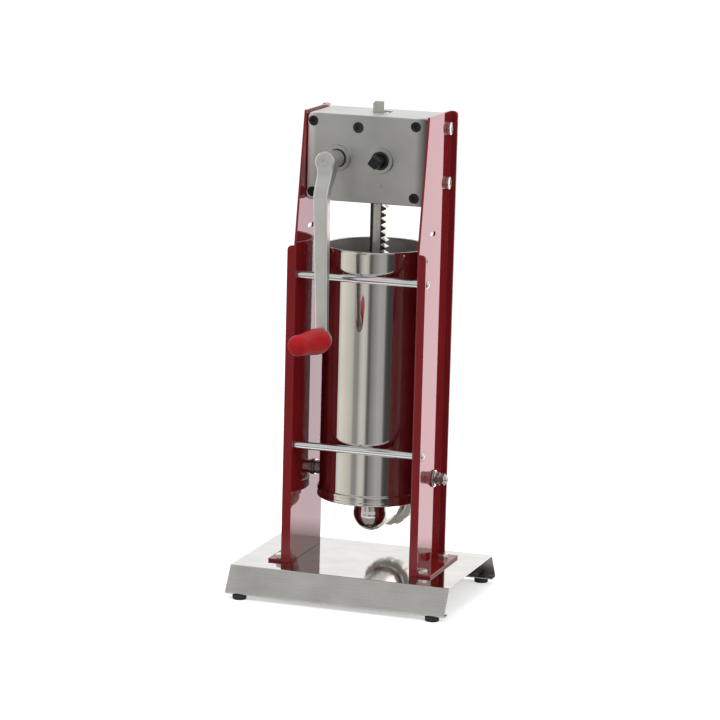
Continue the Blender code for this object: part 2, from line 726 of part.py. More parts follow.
def build_tie_rods(root):
    reach = FRAME_INNER_X - FIT
    end = FRAME_OUTER_X + ROD_THREAD
    profile = capped((ROD_END_RADIUS, -end), (ROD_END_RADIUS, -reach), (ROD_RADIUS, -reach),
                     (ROD_RADIUS, reach), (ROD_END_RADIUS, reach), (ROD_END_RADIUS, end))
    nut = cap_nut(CAP_NUT_RADIUS, CAP_NUT_HEX_HEIGHT, CAP_NUT_DOME_RADIUS, CAP_NUT_HEIGHT,
                  ROD_END_RADIUS + HOLE_CLEARANCE, ROD_THREAD + FIT)
    for level, z in (("upper", UPPER_ROD_Z), ("lower", LOWER_ROD_Z)):
        piece(level + "_tie_rod", turned(profile, SMALL_SIDES), "chrome", root,
              (0.0, ROD_Y, BASE_TOP + z), "+X")
        for side, word, axis in ((-1, "left", "-X"), (1, "right", "+X")):
            piece(f"{level}_rod_cap_nut_{word}", turned(nut, SMALL_SIDES), "chrome", root,
                  (side * (FRAME_OUTER_X + FIT), ROD_Y, BASE_TOP + z), axis)


def build_cylinder(root):
    bottom = BASE_TOP + CYLINDER_BOTTOM
    rim = CYLINDER_HEIGHT
    inner = CYLINDER_RADIUS - CYLINDER_WALL
    bead = CYLINDER_RADIUS + RIM_BEAD
    profile = [(FLOOR_HOLE_RADIUS, 0.0), (BAND_RADIUS - BAND_STEP, 0.0), (BAND_RADIUS, BAND_STEP),
               (BAND_RADIUS, BAND_HEIGHT - BAND_STEP), (BAND_RADIUS - BAND_GROOVE, BAND_HEIGHT),
               (CYLINDER_RADIUS, BAND_HEIGHT + BAND_GROOVE), (CYLINDER_RADIUS, rim - RIM_BEAD_HEIGHT),
               (bead, rim - RIM_BEAD_HEIGHT + RIM_BEAD), (bead, rim - RIM_BEAD),
               (CYLINDER_RADIUS, rim), (inner, rim), (inner, CYLINDER_FLOOR),
               (FLOOR_HOLE_RADIUS, CYLINDER_FLOOR)]
    place = (0.0, CYLINDER_Y, bottom)
    cylinder = piece("cylinder", turned(profile, BIG_SIDES, ring=True), "polished", root, place)
    pivot = (0.0, CYLINDER_Y, BASE_TOP + PIVOT_Z)
    face = FRAME_INNER_X - PIVOT_BOSS_GAP
    core = inner + CYLINDER_WALL / 2
    sides = ("-X", "+X")
    fuse(cylinder, *[helper(rod(PIVOT_BOSS_RADIUS, core, face), root, pivot, side)
                     for side in sides])
    cut(cylinder, *[hole(PIVOT_RADIUS, root, pivot, side, face - PIVOT_SOCKET_DEPTH, face + OVERRUN)
                    for side in sides])


def build_pivots(root):
    z = BASE_TOP + PIVOT_Z
    washer_gap = PIVOT_BOSS_GAP - 2 * FIT
    inner_washer = washer(INNER_WASHER_RADIUS, washer_gap)
    outer_washer = washer(OUTER_WASHER_RADIUS, OUTER_WASHER_THICKNESS)
    bore = PIVOT_RADIUS + HOLE_CLEARANCE
    lock_nut = [(bore, 0.0), (LOCK_NUT_FLANGE_RADIUS, 0.0),
                (LOCK_NUT_FLANGE_RADIUS, LOCK_NUT_FLANGE_HEIGHT),
                (LOCK_NUT_RADIUS, LOCK_NUT_FLANGE_HEIGHT, HEXAGON),
                (LOCK_NUT_RADIUS, LOCK_NUT_HEIGHT, HEXAGON), (bore, LOCK_NUT_HEIGHT)]
    cap = cap_nut(PIVOT_CAP_RADIUS, PIVOT_CAP_HEX_HEIGHT, PIVOT_CAP_DOME_RADIUS,
                  PIVOT_CAP_HEIGHT, bore, PIVOT_END + FIT)
    inner_x = FRAME_INNER_X - PIVOT_BOSS_GAP - PIVOT_SOCKET_DEPTH + FIT
    washer_x = FRAME_OUTER_X + FIT
    nut_x = washer_x + OUTER_WASHER_THICKNESS + FIT
    cap_x = nut_x + LOCK_NUT_HEIGHT + FIT
    for side, word, axis in ((-1, "left", "-X"), (1, "right", "+X")):
        stud = rod(PIVOT_RADIUS, inner_x, cap_x + PIVOT_END, SMALL_SIDES)
        piece("pivot_stud_" + word, stud, "steel", root, (0.0, CYLINDER_Y, z), axis)
        seat = side * (FRAME_INNER_X - PIVOT_BOSS_GAP + FIT)
        for name, profile, x, look in (
                ("pivot_inner_washer_", inner_washer, seat, "chrome"),
                ("pivot_outer_washer_", outer_washer, side * washer_x, "chrome"),
                ("pivot_lock_nut_", lock_nut, side * nut_x, "zinc")):
            piece(name + word, turned(profile, SMALL_SIDES, ring=True), look, root,
                  (x, CYLINDER_Y, z), axis)
        piece("pivot_cap_nut_" + word, turned(cap, SMALL_SIDES), "chrome", root,
              (side * cap_x, CYLINDER_Y, z), axis)


def washer(radius, thickness):
    bore = PIVOT_RADIUS + HOLE_CLEARANCE
    return [(bore, 0.0), (radius, 0.0), (radius, thickness), (bore, thickness)]


def dome(radius, steps=DOME_STEPS):
    """Profile of a half sphere below zero, from its pole to its rim."""
    turns = [math.pi / 2 * k / steps for k in range(steps + 1)]
    return [(0.0, -radius)] + [(radius * math.sin(t), -radius * math.cos(t)) for t in turns[1:]]


def build_outlet(root, nut_axis):
    inner = OUTLET_RADIUS - OUTLET_WALL
    top = OUTLET_DROP - FIT
    thread_end = OUTLET_LENGTH + OUTLET_THREAD_LENGTH
    place = (0.0, CYLINDER_Y, OUTLET_Z)
    tube = dome(OUTLET_RADIUS) + [(OUTLET_RADIUS, OUTLET_LENGTH), (OUTLET_COLLAR_RADIUS, OUTLET_LENGTH),
                                  (OUTLET_COLLAR_RADIUS, thread_end), (0.0, thread_end)]
    shape = turned(tube)
    shape.transform(Matrix(TURNS["+Y"]).to_4x4())
    elbow = piece("outlet_elbow", merged(shape, rod(OUTLET_NECK_RADIUS, -OUTLET_WALL, top)),
                  "polished", root, place)
    hollow = dome(inner) + [(inner, thread_end + OVERRUN), (0.0, thread_end + OVERRUN)]
    bore = rod(OUTLET_NECK_RADIUS - OUTLET_WALL, -OUTLET_WALL, top + OVERRUN)
    cut(elbow, helper(turned(hollow), root, place, "+Y"), helper(bore, root, place))
    elbow.modifiers["Difference"].use_self = True
    bore = OUTLET_COLLAR_RADIUS + HOLE_CLEARANCE
    seat = OUTLET_THREAD_LENGTH + FIT
    outer = RING_NUT_RADIUS - RING_NUT_CHAMFER
    nut = [(bore, 0.0), (outer, 0.0), (RING_NUT_RADIUS, RING_NUT_CHAMFER),
           (RING_NUT_RADIUS, RING_NUT_LENGTH - RING_NUT_CHAMFER), (outer, RING_NUT_LENGTH),
           (RING_NUT_MOUTH_RADIUS, RING_NUT_LENGTH), (RING_NUT_MOUTH_RADIUS, seat), (bore, seat)]
    ring = piece("outlet_ring_nut", turned(nut, BIG_SIDES, ring=True), "polished", nut_axis,
                 axis="+Y")
    reach = RING_NUT_RADIUS + RING_NUT_NOTCH_RADIUS - RING_NUT_NOTCH_DEPTH
    notches = []
    for k in range(RING_NUT_NOTCHES):
        turn = 2 * math.pi * (k + 1 / 2) / RING_NUT_NOTCHES
        notch = rod(RING_NUT_NOTCH_RADIUS, -OVERRUN, RING_NUT_LENGTH + OVERRUN, NOTCH_SIDES)
        place = (reach * math.cos(turn), 0.0, reach * math.sin(turn))
        notches.append(helper(notch, nut_axis, place, "+Y"))
    cut(ring, *notches)


def cover_screw_places():
    bottom = BASE_TOP + GEARBOX_BOTTOM
    heights = (bottom + COVER_SCREW_BOTTOM_INSET, bottom + GEARBOX_HEIGHT - COVER_SCREW_TOP_INSET)
    return [(x, z) for z in heights for x in (COVER_SCREW_LEFT_X, COVER_SCREW_RIGHT_X)]


def rack_slot(low, high):
    gap = RACK_SLOT_CLEARANCE
    half = RACK_THICKNESS / 2 + gap
    tip = RACK_PITCH_X + ADDENDUM_SHARE * RACK_MODULE
    return box((RACK_BACK_X - gap, CYLINDER_Y - half, low), (tip + gap, CYLINDER_Y + half, high))


def build_housing(root):
    bottom = BASE_TOP + GEARBOX_BOTTOM
    top = bottom + GEARBOX_HEIGHT
    front = COVER_BACK_Y + FIT
    wall = GEARBOX_WALL
    back = GEARBOX_REAR_Y - wall / 2
    outer = box((-GEARBOX_HALF, front, bottom), (GEARBOX_HALF, GEARBOX_REAR_Y, top))
    housing = piece("gearbox_housing", outer, "casting", root)
    hollow = box((-GEARBOX_HALF + wall, front - OVERRUN, bottom + wall),
                 (GEARBOX_HALF - wall, GEARBOX_REAR_Y - wall, top - wall))
    cut(housing, helper(hollow, root))
    bosses = []
    holes = [helper(rack_slot(bottom - OVERRUN, top + OVERRUN), root)]
    for x in (SLOW_SHAFT_X, FAST_SHAFT_X):
        place = (x, back, SHAFT_AXIS_Z)
        boss = rod(REAR_BOSS_RADIUS, 0.0, REAR_BOSS_LENGTH + wall / 2)
        bosses.append(helper(boss, root, place, "-Y"))
        holes.append(hole(SHAFT_REAR_RADIUS, root, place, "-Y", 0.0, REAR_BOSS_LENGTH + 2 * OVERRUN,
                          ROUND_SIDES))
    for x, z in cover_screw_places():
        size = SCREW_BOSS_RADIUS
        boss = box((x - size, front, z - size), (x + size, front + SCREW_BOSS_LENGTH, z + size))
        bosses.append(helper(boss, root))
        holes.append(hole(COVER_SCREW_RADIUS, root, (x, front, z), "+Y", -OVERRUN, COVER_SCREW_LENGTH))
    for axis in ("-X", "+X"):
        for z in gearbox_bolt_heights():
            place = (0.0, GEARBOX_BOLT_Y, z)
            boss = rod(GEARBOX_BOLT_BOSS_RADIUS, GEARBOX_HALF - GEARBOX_BOLT_BOSS_LENGTH,
                       GEARBOX_HALF - wall / 2, SMALL_SIDES)
            bosses.append(helper(boss, root, place, axis))
            holes.append(hole(GEARBOX_BOLT_RADIUS, root, place, axis,
                              FRAME_OUTER_X - GEARBOX_BOLT_LENGTH, GEARBOX_HALF + OVERRUN))
    half = RACK_THICKNESS / 2
    guide_x = RACK_BACK_X - FIT
    guide = box((guide_x - RACK_GUIDE_LENGTH, CYLINDER_Y - half, SHAFT_AXIS_Z - RACK_GUIDE_HEIGHT / 2),
                (guide_x, back, SHAFT_AXIS_Z + RACK_GUIDE_HEIGHT / 2))
    fuse(housing, helper(guide, root), *bosses)
    cut(housing, *holes)


def build_cover(root):
    bottom = BASE_TOP + GEARBOX_BOTTOM
    top = bottom + GEARBOX_HEIGHT
    shape = box((-GEARBOX_HALF, GEARBOX_FRONT_Y, bottom), (GEARBOX_HALF, COVER_BACK_Y, top))
    edges = [e for e in shape.edges
             if all(v.co.y < COVER_BACK_Y - COVER_THICKNESS / 2 for v in e.verts)]
    bmesh.ops.bevel(shape, geom=edges, offset=CASTING_RADIUS, segments=CASTING_STEPS, profile=0.5,
                    affect="EDGES")
    cover = piece("gearbox_cover", shape, "casting", root)
    middle = (GEARBOX_FRONT_Y + COVER_BACK_Y) / 2
    reach = middle - BOSS_FACE_Y
    boss = capped((BOSS_RADIUS, 0.0), (BOSS_RADIUS, reach - BOSS_CHAMFER),
                  (BOSS_RADIUS - BOSS_CHAMFER, reach))
    ends = (-COVER_THICKNESS, COVER_THICKNESS + BOSS_HEIGHT)
    bosses = []
    holes = []
    for x in (SLOW_SHAFT_X, FAST_SHAFT_X):
        place = (x, middle, SHAFT_AXIS_Z)
        bosses.append(helper(turned(boss), root, place, "-Y"))
        holes.append(hole(BUSHING_RADIUS, root, place, "-Y", *ends, ROUND_SIDES))
    for x, z in cover_screw_places():
        holes.append(hole(COVER_SCREW_RADIUS, root, (x, middle, z), "-Y", *ends))
        sink = rod(COUNTERBORE_RADIUS, 0.0, COUNTERBORE_DEPTH + OVERRUN, SMALL_SIDES)
        holes.append(helper(sink, root, (x, GEARBOX_FRONT_Y + COUNTERBORE_DEPTH, z), "-Y"))
    plug_z = top - PLUG_INSET
    holes.append(hole(PLUG_RADIUS, root, (PLUG_X, middle, plug_z), "-Y", *ends, ROUND_SIDES))
    fuse(cover, *bosses)
    cut(cover, *holes)
    plug = chamfered_rod(PLUG_RADIUS, -PLUG_LENGTH, PLUG_HEAD, PLUG_HEAD / 2)
    plug_place = (PLUG_X, GEARBOX_FRONT_Y, plug_z)
    plug = piece("gear_grease_plug", plug, "black_plastic", root, plug_place, "-Y")
    cut(plug, helper(hex_socket(PLUG_SOCKET_RADIUS, PLUG_HEAD), root, plug_place, "-Y"))


def hex_socket(radius, mouth):
    """Cutter for a key socket whose mouth is at this height."""
    return turned(capped((radius, mouth - HEX_KEY_DEPTH, HEXAGON), (radius, mouth + OVERRUN, HEXAGON)),
                  HEXAGON)


def build_cover_screws(root):
    names = ("bottom_left", "bottom_right", "top_left", "top_right")
    seat = GEARBOX_FRONT_Y + COUNTERBORE_DEPTH - FIT
    edge = COVER_SCREW_CHAMFER
    profile = capped((COVER_SCREW_RADIUS, FIT - COVER_SCREW_LENGTH), (COVER_SCREW_RADIUS, 0.0),
                     (COVER_SCREW_HEAD_RADIUS, 0.0),
                     (COVER_SCREW_HEAD_RADIUS, COVER_SCREW_HEAD_HEIGHT - edge),
                     (COVER_SCREW_HEAD_RADIUS - edge, COVER_SCREW_HEAD_HEIGHT))
    for name, (x, z) in zip(names, cover_screw_places()):
        screw = piece("cover_screw_" + name, turned(profile, SMALL_SIDES), "black_steel", root,
                      (x, seat, z), "-Y")
        cut(screw, helper(hex_socket(HEX_KEY_RADIUS, COVER_SCREW_HEAD_HEIGHT), root,
                          (x, seat, z), "-Y"))


def build_gearbox_bolts(root):
    seat = FRAME_OUTER_X + FIT
    head = GEARBOX_BOLT_HEAD_RADIUS
    height = GEARBOX_BOLT_HEAD_HEIGHT
    profile = capped((GEARBOX_BOLT_RADIUS, -GEARBOX_BOLT_LENGTH), (GEARBOX_BOLT_RADIUS, 0.0),
                     (head, 0.0), (head, height - GEARBOX_BOLT_CHAMFER),
                     (head - GEARBOX_BOLT_CHAMFER, height))
    for side, word, axis in ((-1, "left", "-X"), (1, "right", "+X")):
        for level, z in zip(("lower", "upper"), gearbox_bolt_heights()):
            place = (side * seat, GEARBOX_BOLT_Y, z)
            bolt = piece(f"gearbox_bolt_{level}_{word}", turned(profile, SMALL_SIDES), "zinc",
                         root, place, axis)
            cut(bolt, helper(hex_socket(HEX_KEY_RADIUS, height), root, place, axis))


def shaft_profile(collar_y):
    """A shaft from its thin rear journal to its square front end, heights towards the crank."""
    rear = FIT - GEARBOX_BORE_END_Y
    square_start = -BOSS_FACE_Y
    square_end = square_start + SQUARE_LENGTH
    corner = SQUARE_SIDE / math.sqrt(2)
    return capped((SHAFT_REAR_RADIUS, rear), (SHAFT_REAR_RADIUS, -collar_y),
                  (SHAFT_RADIUS, -collar_y), (SHAFT_RADIUS, square_start),
                  (corner, square_start, SQUARE, SHAFT_RADIUS),
                  (corner, square_end - SQUARE_CHAMFER, SQUARE, SHAFT_RADIUS),
                  (corner - SQUARE_CHAMFER, square_end, SQUARE, SHAFT_RADIUS - SQUARE_CHAMFER))


def build_shaft(name, parent, collar_y, teeth, low, high):
    shape = turned(shaft_profile(collar_y))
    shape.transform(Matrix.Rotation(SQUARE_TURN, 4, "Z"))
    shaft = piece(name, shape, "black_steel", parent, axis="-Y")
    fuse(shaft, helper(prism(teeth, low, high, "XZ"), parent))


def build_gear_train(fast, slow):
    low = CYLINDER_Y - RACK_PINION_LENGTH / 2
    build_shaft("fast_pinion_shaft", fast, low + SQUARE_CHAMFER, rack_pinion_outline(), low,
                low + RACK_PINION_LENGTH)
    back = GEAR_FRONT_Y + GEAR_WIDTH
    pinion = gear_outline(SLOW_PINION_TEETH, GEAR_MODULE, GEAR_PRESSURE_ANGLE, ADDENDUM_SHARE,
                          GEAR_BACKLASH / 2, 0.0)
    build_shaft("slow_pinion_shaft", slow, CYLINDER_Y, pinion, GEAR_FRONT_Y, back)
    toward_pinion = math.pi + math.pi / GEAR_TEETH
    outline = gear_outline(GEAR_TEETH, GEAR_MODULE, GEAR_PRESSURE_ANGLE, GEAR_ADDENDUM_SHARE,
                           GEAR_BACKLASH / 2, toward_pinion)
    gear = piece("drive_gear", prism(outline, GEAR_FRONT_Y, back, "XZ"), "steel", fast)
    web = [(GEAR_WEB_INNER_RADIUS, 0.0), (GEAR_WEB_OUTER_RADIUS, 0.0),
           (GEAR_WEB_OUTER_RADIUS, GEAR_WEB_RECESS + OVERRUN),
           (GEAR_WEB_INNER_RADIUS, GEAR_WEB_RECESS + OVERRUN)]
    recess = turned(web, ROUND_SIDES, ring=True)
    hub = rod(GEAR_HUB_RADIUS, 0.0, GEAR_HUB_LENGTH)
    fuse(gear, helper(hub, fast, (0.0, GEAR_FRONT_Y + FIT, 0.0), "+Y"))
    cut(gear, helper(recess, fast, (0.0, back - GEAR_WEB_RECESS, 0.0), "+Y"),
        hole(SHAFT_RADIUS, fast, (0.0, GEAR_FRONT_Y, 0.0), "+Y", high=GEAR_HUB_LENGTH + OVERRUN,
             sides=ROUND_SIDES))


def build_bushings(root):
    length = BOSS_HEIGHT + COVER_THICKNESS + BUSHING_INNER_END
    bore = SHAFT_RADIUS + HOLE_CLEARANCE
    profile = [(bore, -length), (BUSHING_RADIUS, -length), (BUSHING_RADIUS, BUSHING_PROUD),
               (bore, BUSHING_PROUD)]
    for name, x in (("slow_shaft_bushing", SLOW_SHAFT_X), ("fast_shaft_bushing", FAST_SHAFT_X)):
        piece(name, turned(profile, ring=True), "black_plastic", root,
              (x, BOSS_FACE_Y, SHAFT_AXIS_Z), "-Y")


def arm_stations():
    """(distance down the arm, front, rear, width): Y counts from the boss face, front negative."""
    stations = []
    hub_front = -CRANK_STANDOFF
    hub_rear = hub_front + HUB_LENGTH
    for k in range(NECK_STEPS + 1):
        share = k / NECK_STEPS
        smooth = share * share * (3 - 2 * share)
        front = hub_front + HUB_CHAMFER * (1 - smooth) - ARM_OFFSET * smooth
        rear_end = hub_front - ARM_OFFSET + ARM_TOP_DEPTH
        rear = hub_rear - FIT + (rear_end - hub_rear + FIT) * smooth
        down = ARM_NECK_START + (ARM_NECK_END - ARM_NECK_START) * share
        width = ARM_NECK_WIDTH + (ARM_WIDTH - ARM_NECK_WIDTH) * smooth
        stations.append((down, front, rear, width))
    lean = math.tan(ARM_LEAN)
    straight = ARM_LENGTH - ARM_NECK_END
    start = -math.acos(ARM_FOOT_WIDTH / (2 * ARM_EYE_RADIUS))
    for k in range(END_STEPS + 1):
        turn = start + (math.pi / 2 - start) * k / END_STEPS
        down = ARM_LENGTH + ARM_EYE_RADIUS * math.sin(turn)
        front = hub_front - ARM_OFFSET - (down - ARM_NECK_END) * lean
        depth = ARM_TOP_DEPTH + (ARM_END_DEPTH - ARM_TOP_DEPTH) * min(1.0, (down - ARM_NECK_END) / straight)
        width = 2 * (ARM_EYE_RADIUS * math.cos(turn) + ARM_CHAMFER * max(0.0, math.sin(turn)))
        stations.append((down, front, front + depth, width))
    return stations


def arm_shape():
    """The cast arm, lofted through chamfered sections."""
    shape = bmesh.new()
    rings = []
    for down, front, rear, width in arm_stations():
        half = width / 2
        edge = min(ARM_CHAMFER, half / 2)
        outline = [(-half, front + edge), (-half + edge, front), (half - edge, front),
                   (half, front + edge), (half, rear - edge), (half - edge, rear),
                   (-half + edge, rear), (-half, rear - edge)]
        rings.append([shape.verts.new((x, y, -down)) for x, y in outline])
    shape.faces.new(rings[0])
    shape.faces.new(rings[-1])
    for low, high in zip(rings, rings[1:]):
        for k in range(len(low)):
            after = (k + 1) % len(low)
            shape.faces.new((low[k], low[after], high[after], high[k]))
    return shape


def build_crank(crank, grip_axis):
    """The crank hangs from its own axis, whose origin is on the boss's face."""
    front = CRANK_STANDOFF
    step = front - HUB_LENGTH
    sleeve_end = step - HUB_SLEEVE_LENGTH
    hub = capped((HUB_SLEEVE_RADIUS, sleeve_end), (HUB_SLEEVE_RADIUS, step), (HUB_RADIUS, step),
                 (HUB_RADIUS, front - HUB_CHAMFER), (HUB_RADIUS - HUB_CHAMFER, front))
    arm = piece("crank_arm", turned(hub), "crank_casting", crank, axis="-Y")
    fuse(arm, helper(arm_shape(), crank))
    corner = (SQUARE_SIDE + 2 * SOCKET_CLEARANCE) / math.sqrt(2)
    socket = turned(capped((corner, -OVERRUN), (corner, SQUARE_LENGTH + SOCKET_END_GAP)), SQUARE)
    socket.transform(Matrix.Rotation(SQUARE_TURN - CRANK_TILT, 4, "Z"))
    dimple = rod(HUB_DIMPLE_RADIUS, front - HUB_DIMPLE_DEPTH, front + OVERRUN, SMALL_SIDES)
    cut(arm, helper(socket, crank, axis="-Y"), helper(dimple, crank, axis="-Y"),
        hole(SPINDLE_RADIUS, grip_axis, (0.0, 0.0, 0.0), "-Y", -ARM_TOP_DEPTH, ARM_TOP_DEPTH))
    back = -ARM_END_DEPTH * math.cos(ARM_LEAN) - 2 * FIT
    spindle = capped((SPINDLE_HEAD_RADIUS, back - SPINDLE_HEAD_HEIGHT), (SPINDLE_HEAD_RADIUS, back),
                     (SPINDLE_RADIUS, back), (SPINDLE_RADIUS, SPINDLE_LENGTH))
    piece("grip_spindle", turned(spindle, SMALL_SIDES), "steel", grip_axis, axis="-Y")


def build_grip(grip_axis):
    profile = [(0.0, GRIP_BORE_DEPTH), (GRIP_BORE_RADIUS, GRIP_BORE_DEPTH),
               (GRIP_BORE_RADIUS, GRIP_END_GAP)]
    for along_share, radius_share in GRIP_RADII_SHARES:
        profile.append((GRIP_RADIUS * radius_share, GRIP_END_GAP + GRIP_LENGTH * along_share))
    profile.append((0.0, GRIP_END_GAP + GRIP_LENGTH))
    piece("crank_grip", turned(profile), "red_plastic", grip_axis, axis="-Y")


def rack_outline(low, high):
    """The rack seen from the front: a smooth back and teeth on the right above the plain end."""
    pitch = math.pi * RACK_MODULE
    slope = math.tan(RACK_PRESSURE_ANGLE)
    tip = RACK_PITCH_X + ADDENDUM_SHARE * RACK_MODULE
    root_half = pitch / 4 + DEDENDUM_SHARE * RACK_MODULE * slope
    tip_half = pitch / 4 - ADDENDUM_SHARE * RACK_MODULE * slope
    outline = [(RACK_BACK_X, low), (RACK_ROOT_X, low)]
    first = math.ceil((low + RACK_SMOOTH_LENGTH) / pitch)
    last = math.floor((high - RACK_TOP_CHAMFER) / pitch)
    for tooth in range(first, last):
        middle = tooth * pitch
        outline += [(RACK_ROOT_X, middle - root_half), (tip, middle - tip_half),
                    (tip, middle + tip_half), (RACK_ROOT_X, middle + root_half)]
    outline += [(RACK_ROOT_X, high), (RACK_BACK_X + RACK_TOP_CHAMFER, high),
                (RACK_BACK_X, high - RACK_TOP_CHAMFER)]
    return outline


def build_rack(rack):
    """Heights count from the shafts' axis, where one tooth's middle lies at rest."""
    half = RACK_THICKNESS / 2
    low = PISTON_BOTTOM + PISTON_HEIGHT - PISTON_DISH_DEPTH + FIT - SHAFT_AXIS_Z
    bar = prism(rack_outline(low, low + RACK_ABOVE_PISTON), -half, half, "XZ")
    bar = piece("rack", bar, "chrome", rack)
    stud_end = PISTON_BOTTOM - SHAFT_AXIS_Z - PISTON_NUT_HEIGHT - FIT
    stud = rod(RACK_STUD_RADIUS, stud_end, low + OVERRUN, SMALL_SIDES)
    fuse(bar, helper(stud, rack))


def build_piston(rack, valve_axis):
    top = PISTON_HEIGHT
    dish = top - PISTON_DISH_DEPTH
    groove_low = PISTON_RIM_HEIGHT / 2 - SEAL_GROOVE_HEIGHT / 2
    groove_high = groove_low + SEAL_GROOVE_HEIGHT
    groove = PISTON_RADIUS - SEAL_GROOVE_DEPTH
    bore = RACK_STUD_RADIUS + HOLE_CLEARANCE
    edge = PISTON_EDGE
    profile = [(bore, 0.0), (PISTON_RADIUS - edge, 0.0), (PISTON_RADIUS, edge),
               (PISTON_RADIUS, groove_low), (groove, groove_low), (groove, groove_high),
               (PISTON_RADIUS, groove_high), (PISTON_RADIUS, PISTON_RIM_HEIGHT),
               (PISTON_DISH_RADIUS, top), (PISTON_DISH_RADIUS - edge, dish), (bore, dish)]
    place = (0.0, 0.0, PISTON_BOTTOM - SHAFT_AXIS_Z)
    disc = piece("piston_disc", turned(profile, BIG_SIDES, ring=True), "polished", rack, place)
    stem = rod(VALVE_STEM_RADIUS + HOLE_CLEARANCE, -OVERRUN, top, SMALL_SIDES)
    cut(disc, helper(stem, valve_axis))
    low = groove_low + FIT
    high = groove_high - FIT
    outer = PISTON_RADIUS + SEAL_PROUD
    seal = [(groove + FIT, low), (PISTON_RADIUS, low), (outer, low + edge), (outer, high - edge),
            (PISTON_RADIUS, high), (groove + FIT, high)]
    piece("piston_seal", turned(seal, BIG_SIDES, ring=True), "silicone", rack, place)
    nut_low = -PISTON_NUT_HEIGHT - FIT
    nut = [(bore, nut_low), (PISTON_NUT_RADIUS, nut_low, HEXAGON), (PISTON_NUT_RADIUS, -FIT, HEXAGON),
           (bore, -FIT)]
    piece("piston_nut", turned(nut, SMALL_SIDES, ring=True), "zinc", rack, place)
    seat = dish + VALVE_GAP
    valve = capped((VALVE_STEM_RADIUS, FIT), (VALVE_STEM_RADIUS, seat), (VALVE_HEAD_RADIUS, seat),
                   (VALVE_HEAD_RADIUS, seat + VALVE_HEAD_HEIGHT),
                   (VALVE_KNOB_RADIUS, seat + VALVE_HEAD_HEIGHT),
                   (VALVE_KNOB_RADIUS, seat + VALVE_HEAD_HEIGHT + VALVE_KNOB_HEIGHT))
    piece("piston_air_valve", turned(valve, SMALL_SIDES), "red_plastic", valve_axis)


def build():
    clear_scene()
    root = empty("stuffer", (0.0, -CENTRE_Y, 0.0))
    fast = empty("fast_shaft_axis", (FAST_SHAFT_X, 0.0, SHAFT_AXIS_Z), root)
    slow = empty("slow_shaft_axis", (SLOW_SHAFT_X, 0.0, SHAFT_AXIS_Z), root)
    rack = empty("rack_axis", (0.0, CYLINDER_Y, SHAFT_AXIS_Z), root)
    valve_axis = empty("valve_axis", (VALVE_X, 0.0, PISTON_BOTTOM - SHAFT_AXIS_Z), rack)
    nut_axis = empty("ring_nut_axis", (0.0, CYLINDER_Y + OUTLET_LENGTH + FIT, OUTLET_Z), root)
    crank = empty("crank_axis", (0.0, BOSS_FACE_Y, 0.0), slow, (0.0, -CRANK_TILT, 0.0))
    grip_place = (0.0, GRIP_AXIS_Y, -ARM_LENGTH)
    grip_axis = empty("grip_axis", grip_place, crank, (-ARM_LEAN, 0.0, 0.0))
    build_base(root)
    build_feet(root)
    build_frame(root, "left_side_frame", -1)
    build_frame(root, "right_side_frame", 1)
    build_frame_bolts(root)
    build_tie_rods(root)
    build_cylinder(root)
    build_pivots(root)
    build_outlet(root, nut_axis)
    build_housing(root)
    build_cover(root)
    build_cover_screws(root)
    build_gearbox_bolts(root)
    build_bushings(root)
    build_gear_train(fast, slow)
    build_crank(crank, grip_axis)
    build_grip(grip_axis)
    build_rack(rack)
    build_piston(rack, valve_axis)


build()
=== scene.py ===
"""Looks for a vertical two-speed sausage stuffer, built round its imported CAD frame.

Every length is in metres. X runs to the right, the crank is on the -Y side and Z is up.
"""

import json
import math

import bmesh
import bpy
from mathutils import Matrix, Vector


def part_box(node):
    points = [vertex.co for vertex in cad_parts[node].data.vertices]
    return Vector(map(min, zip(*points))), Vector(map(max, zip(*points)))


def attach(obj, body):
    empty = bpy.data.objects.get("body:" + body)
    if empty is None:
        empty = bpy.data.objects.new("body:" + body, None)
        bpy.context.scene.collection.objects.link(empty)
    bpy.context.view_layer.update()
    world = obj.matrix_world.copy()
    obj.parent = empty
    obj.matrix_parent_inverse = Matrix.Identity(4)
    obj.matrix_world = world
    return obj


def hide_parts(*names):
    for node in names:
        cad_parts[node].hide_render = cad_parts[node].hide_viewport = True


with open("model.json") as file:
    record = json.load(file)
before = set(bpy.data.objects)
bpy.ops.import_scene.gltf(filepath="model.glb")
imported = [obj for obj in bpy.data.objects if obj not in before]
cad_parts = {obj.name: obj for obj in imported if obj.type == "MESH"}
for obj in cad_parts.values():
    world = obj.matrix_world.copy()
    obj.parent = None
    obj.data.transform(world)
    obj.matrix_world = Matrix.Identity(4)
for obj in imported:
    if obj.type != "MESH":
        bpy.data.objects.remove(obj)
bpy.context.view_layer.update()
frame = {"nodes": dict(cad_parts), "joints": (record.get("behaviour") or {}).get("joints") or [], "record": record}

# Camera, fitted to the photograph
CAMERA_AZIMUTH = math.radians(18.76)
CAMERA_ELEVATION = math.radians(10.89)
CAMERA_ROLL = math.radians(1.46)
CAMERA_DISTANCE = 4.3408
CAMERA_TARGET = Vector((-0.01077, 0.0450955, 0.3091))
FOCAL_PIXELS = 3321.7
PHOTO_PIXELS = 720
SENSOR_WIDTH = 36.0

# Studio
FLOOR_SIZE = 60.0
MIRRORED_FLOOR_RADIUS = 0.28
MIRRORED_FLOOR_EDGE = 0.12
FLOOR_BOUNCE = 0.45
FLOOR_GLOW = 0.42
FLOOR_GREYS = (0.83, 0.86)
WORLD_LEVEL = 0.72
LAMP_AIM = Vector((0.0, 0.0, 0.3))
LAMPS = (
    # name, place, width, height, watts
    ("key", (-1.9, -2.0, 2.5), 1.3, 1.3, 34.0),
    ("fill", (2.6, -0.9, 1.6), 1.2, 1.6, 24.0),
    ("top", (0.0, 0.6, 3.0), 1.6, 1.2, 22.0),
)

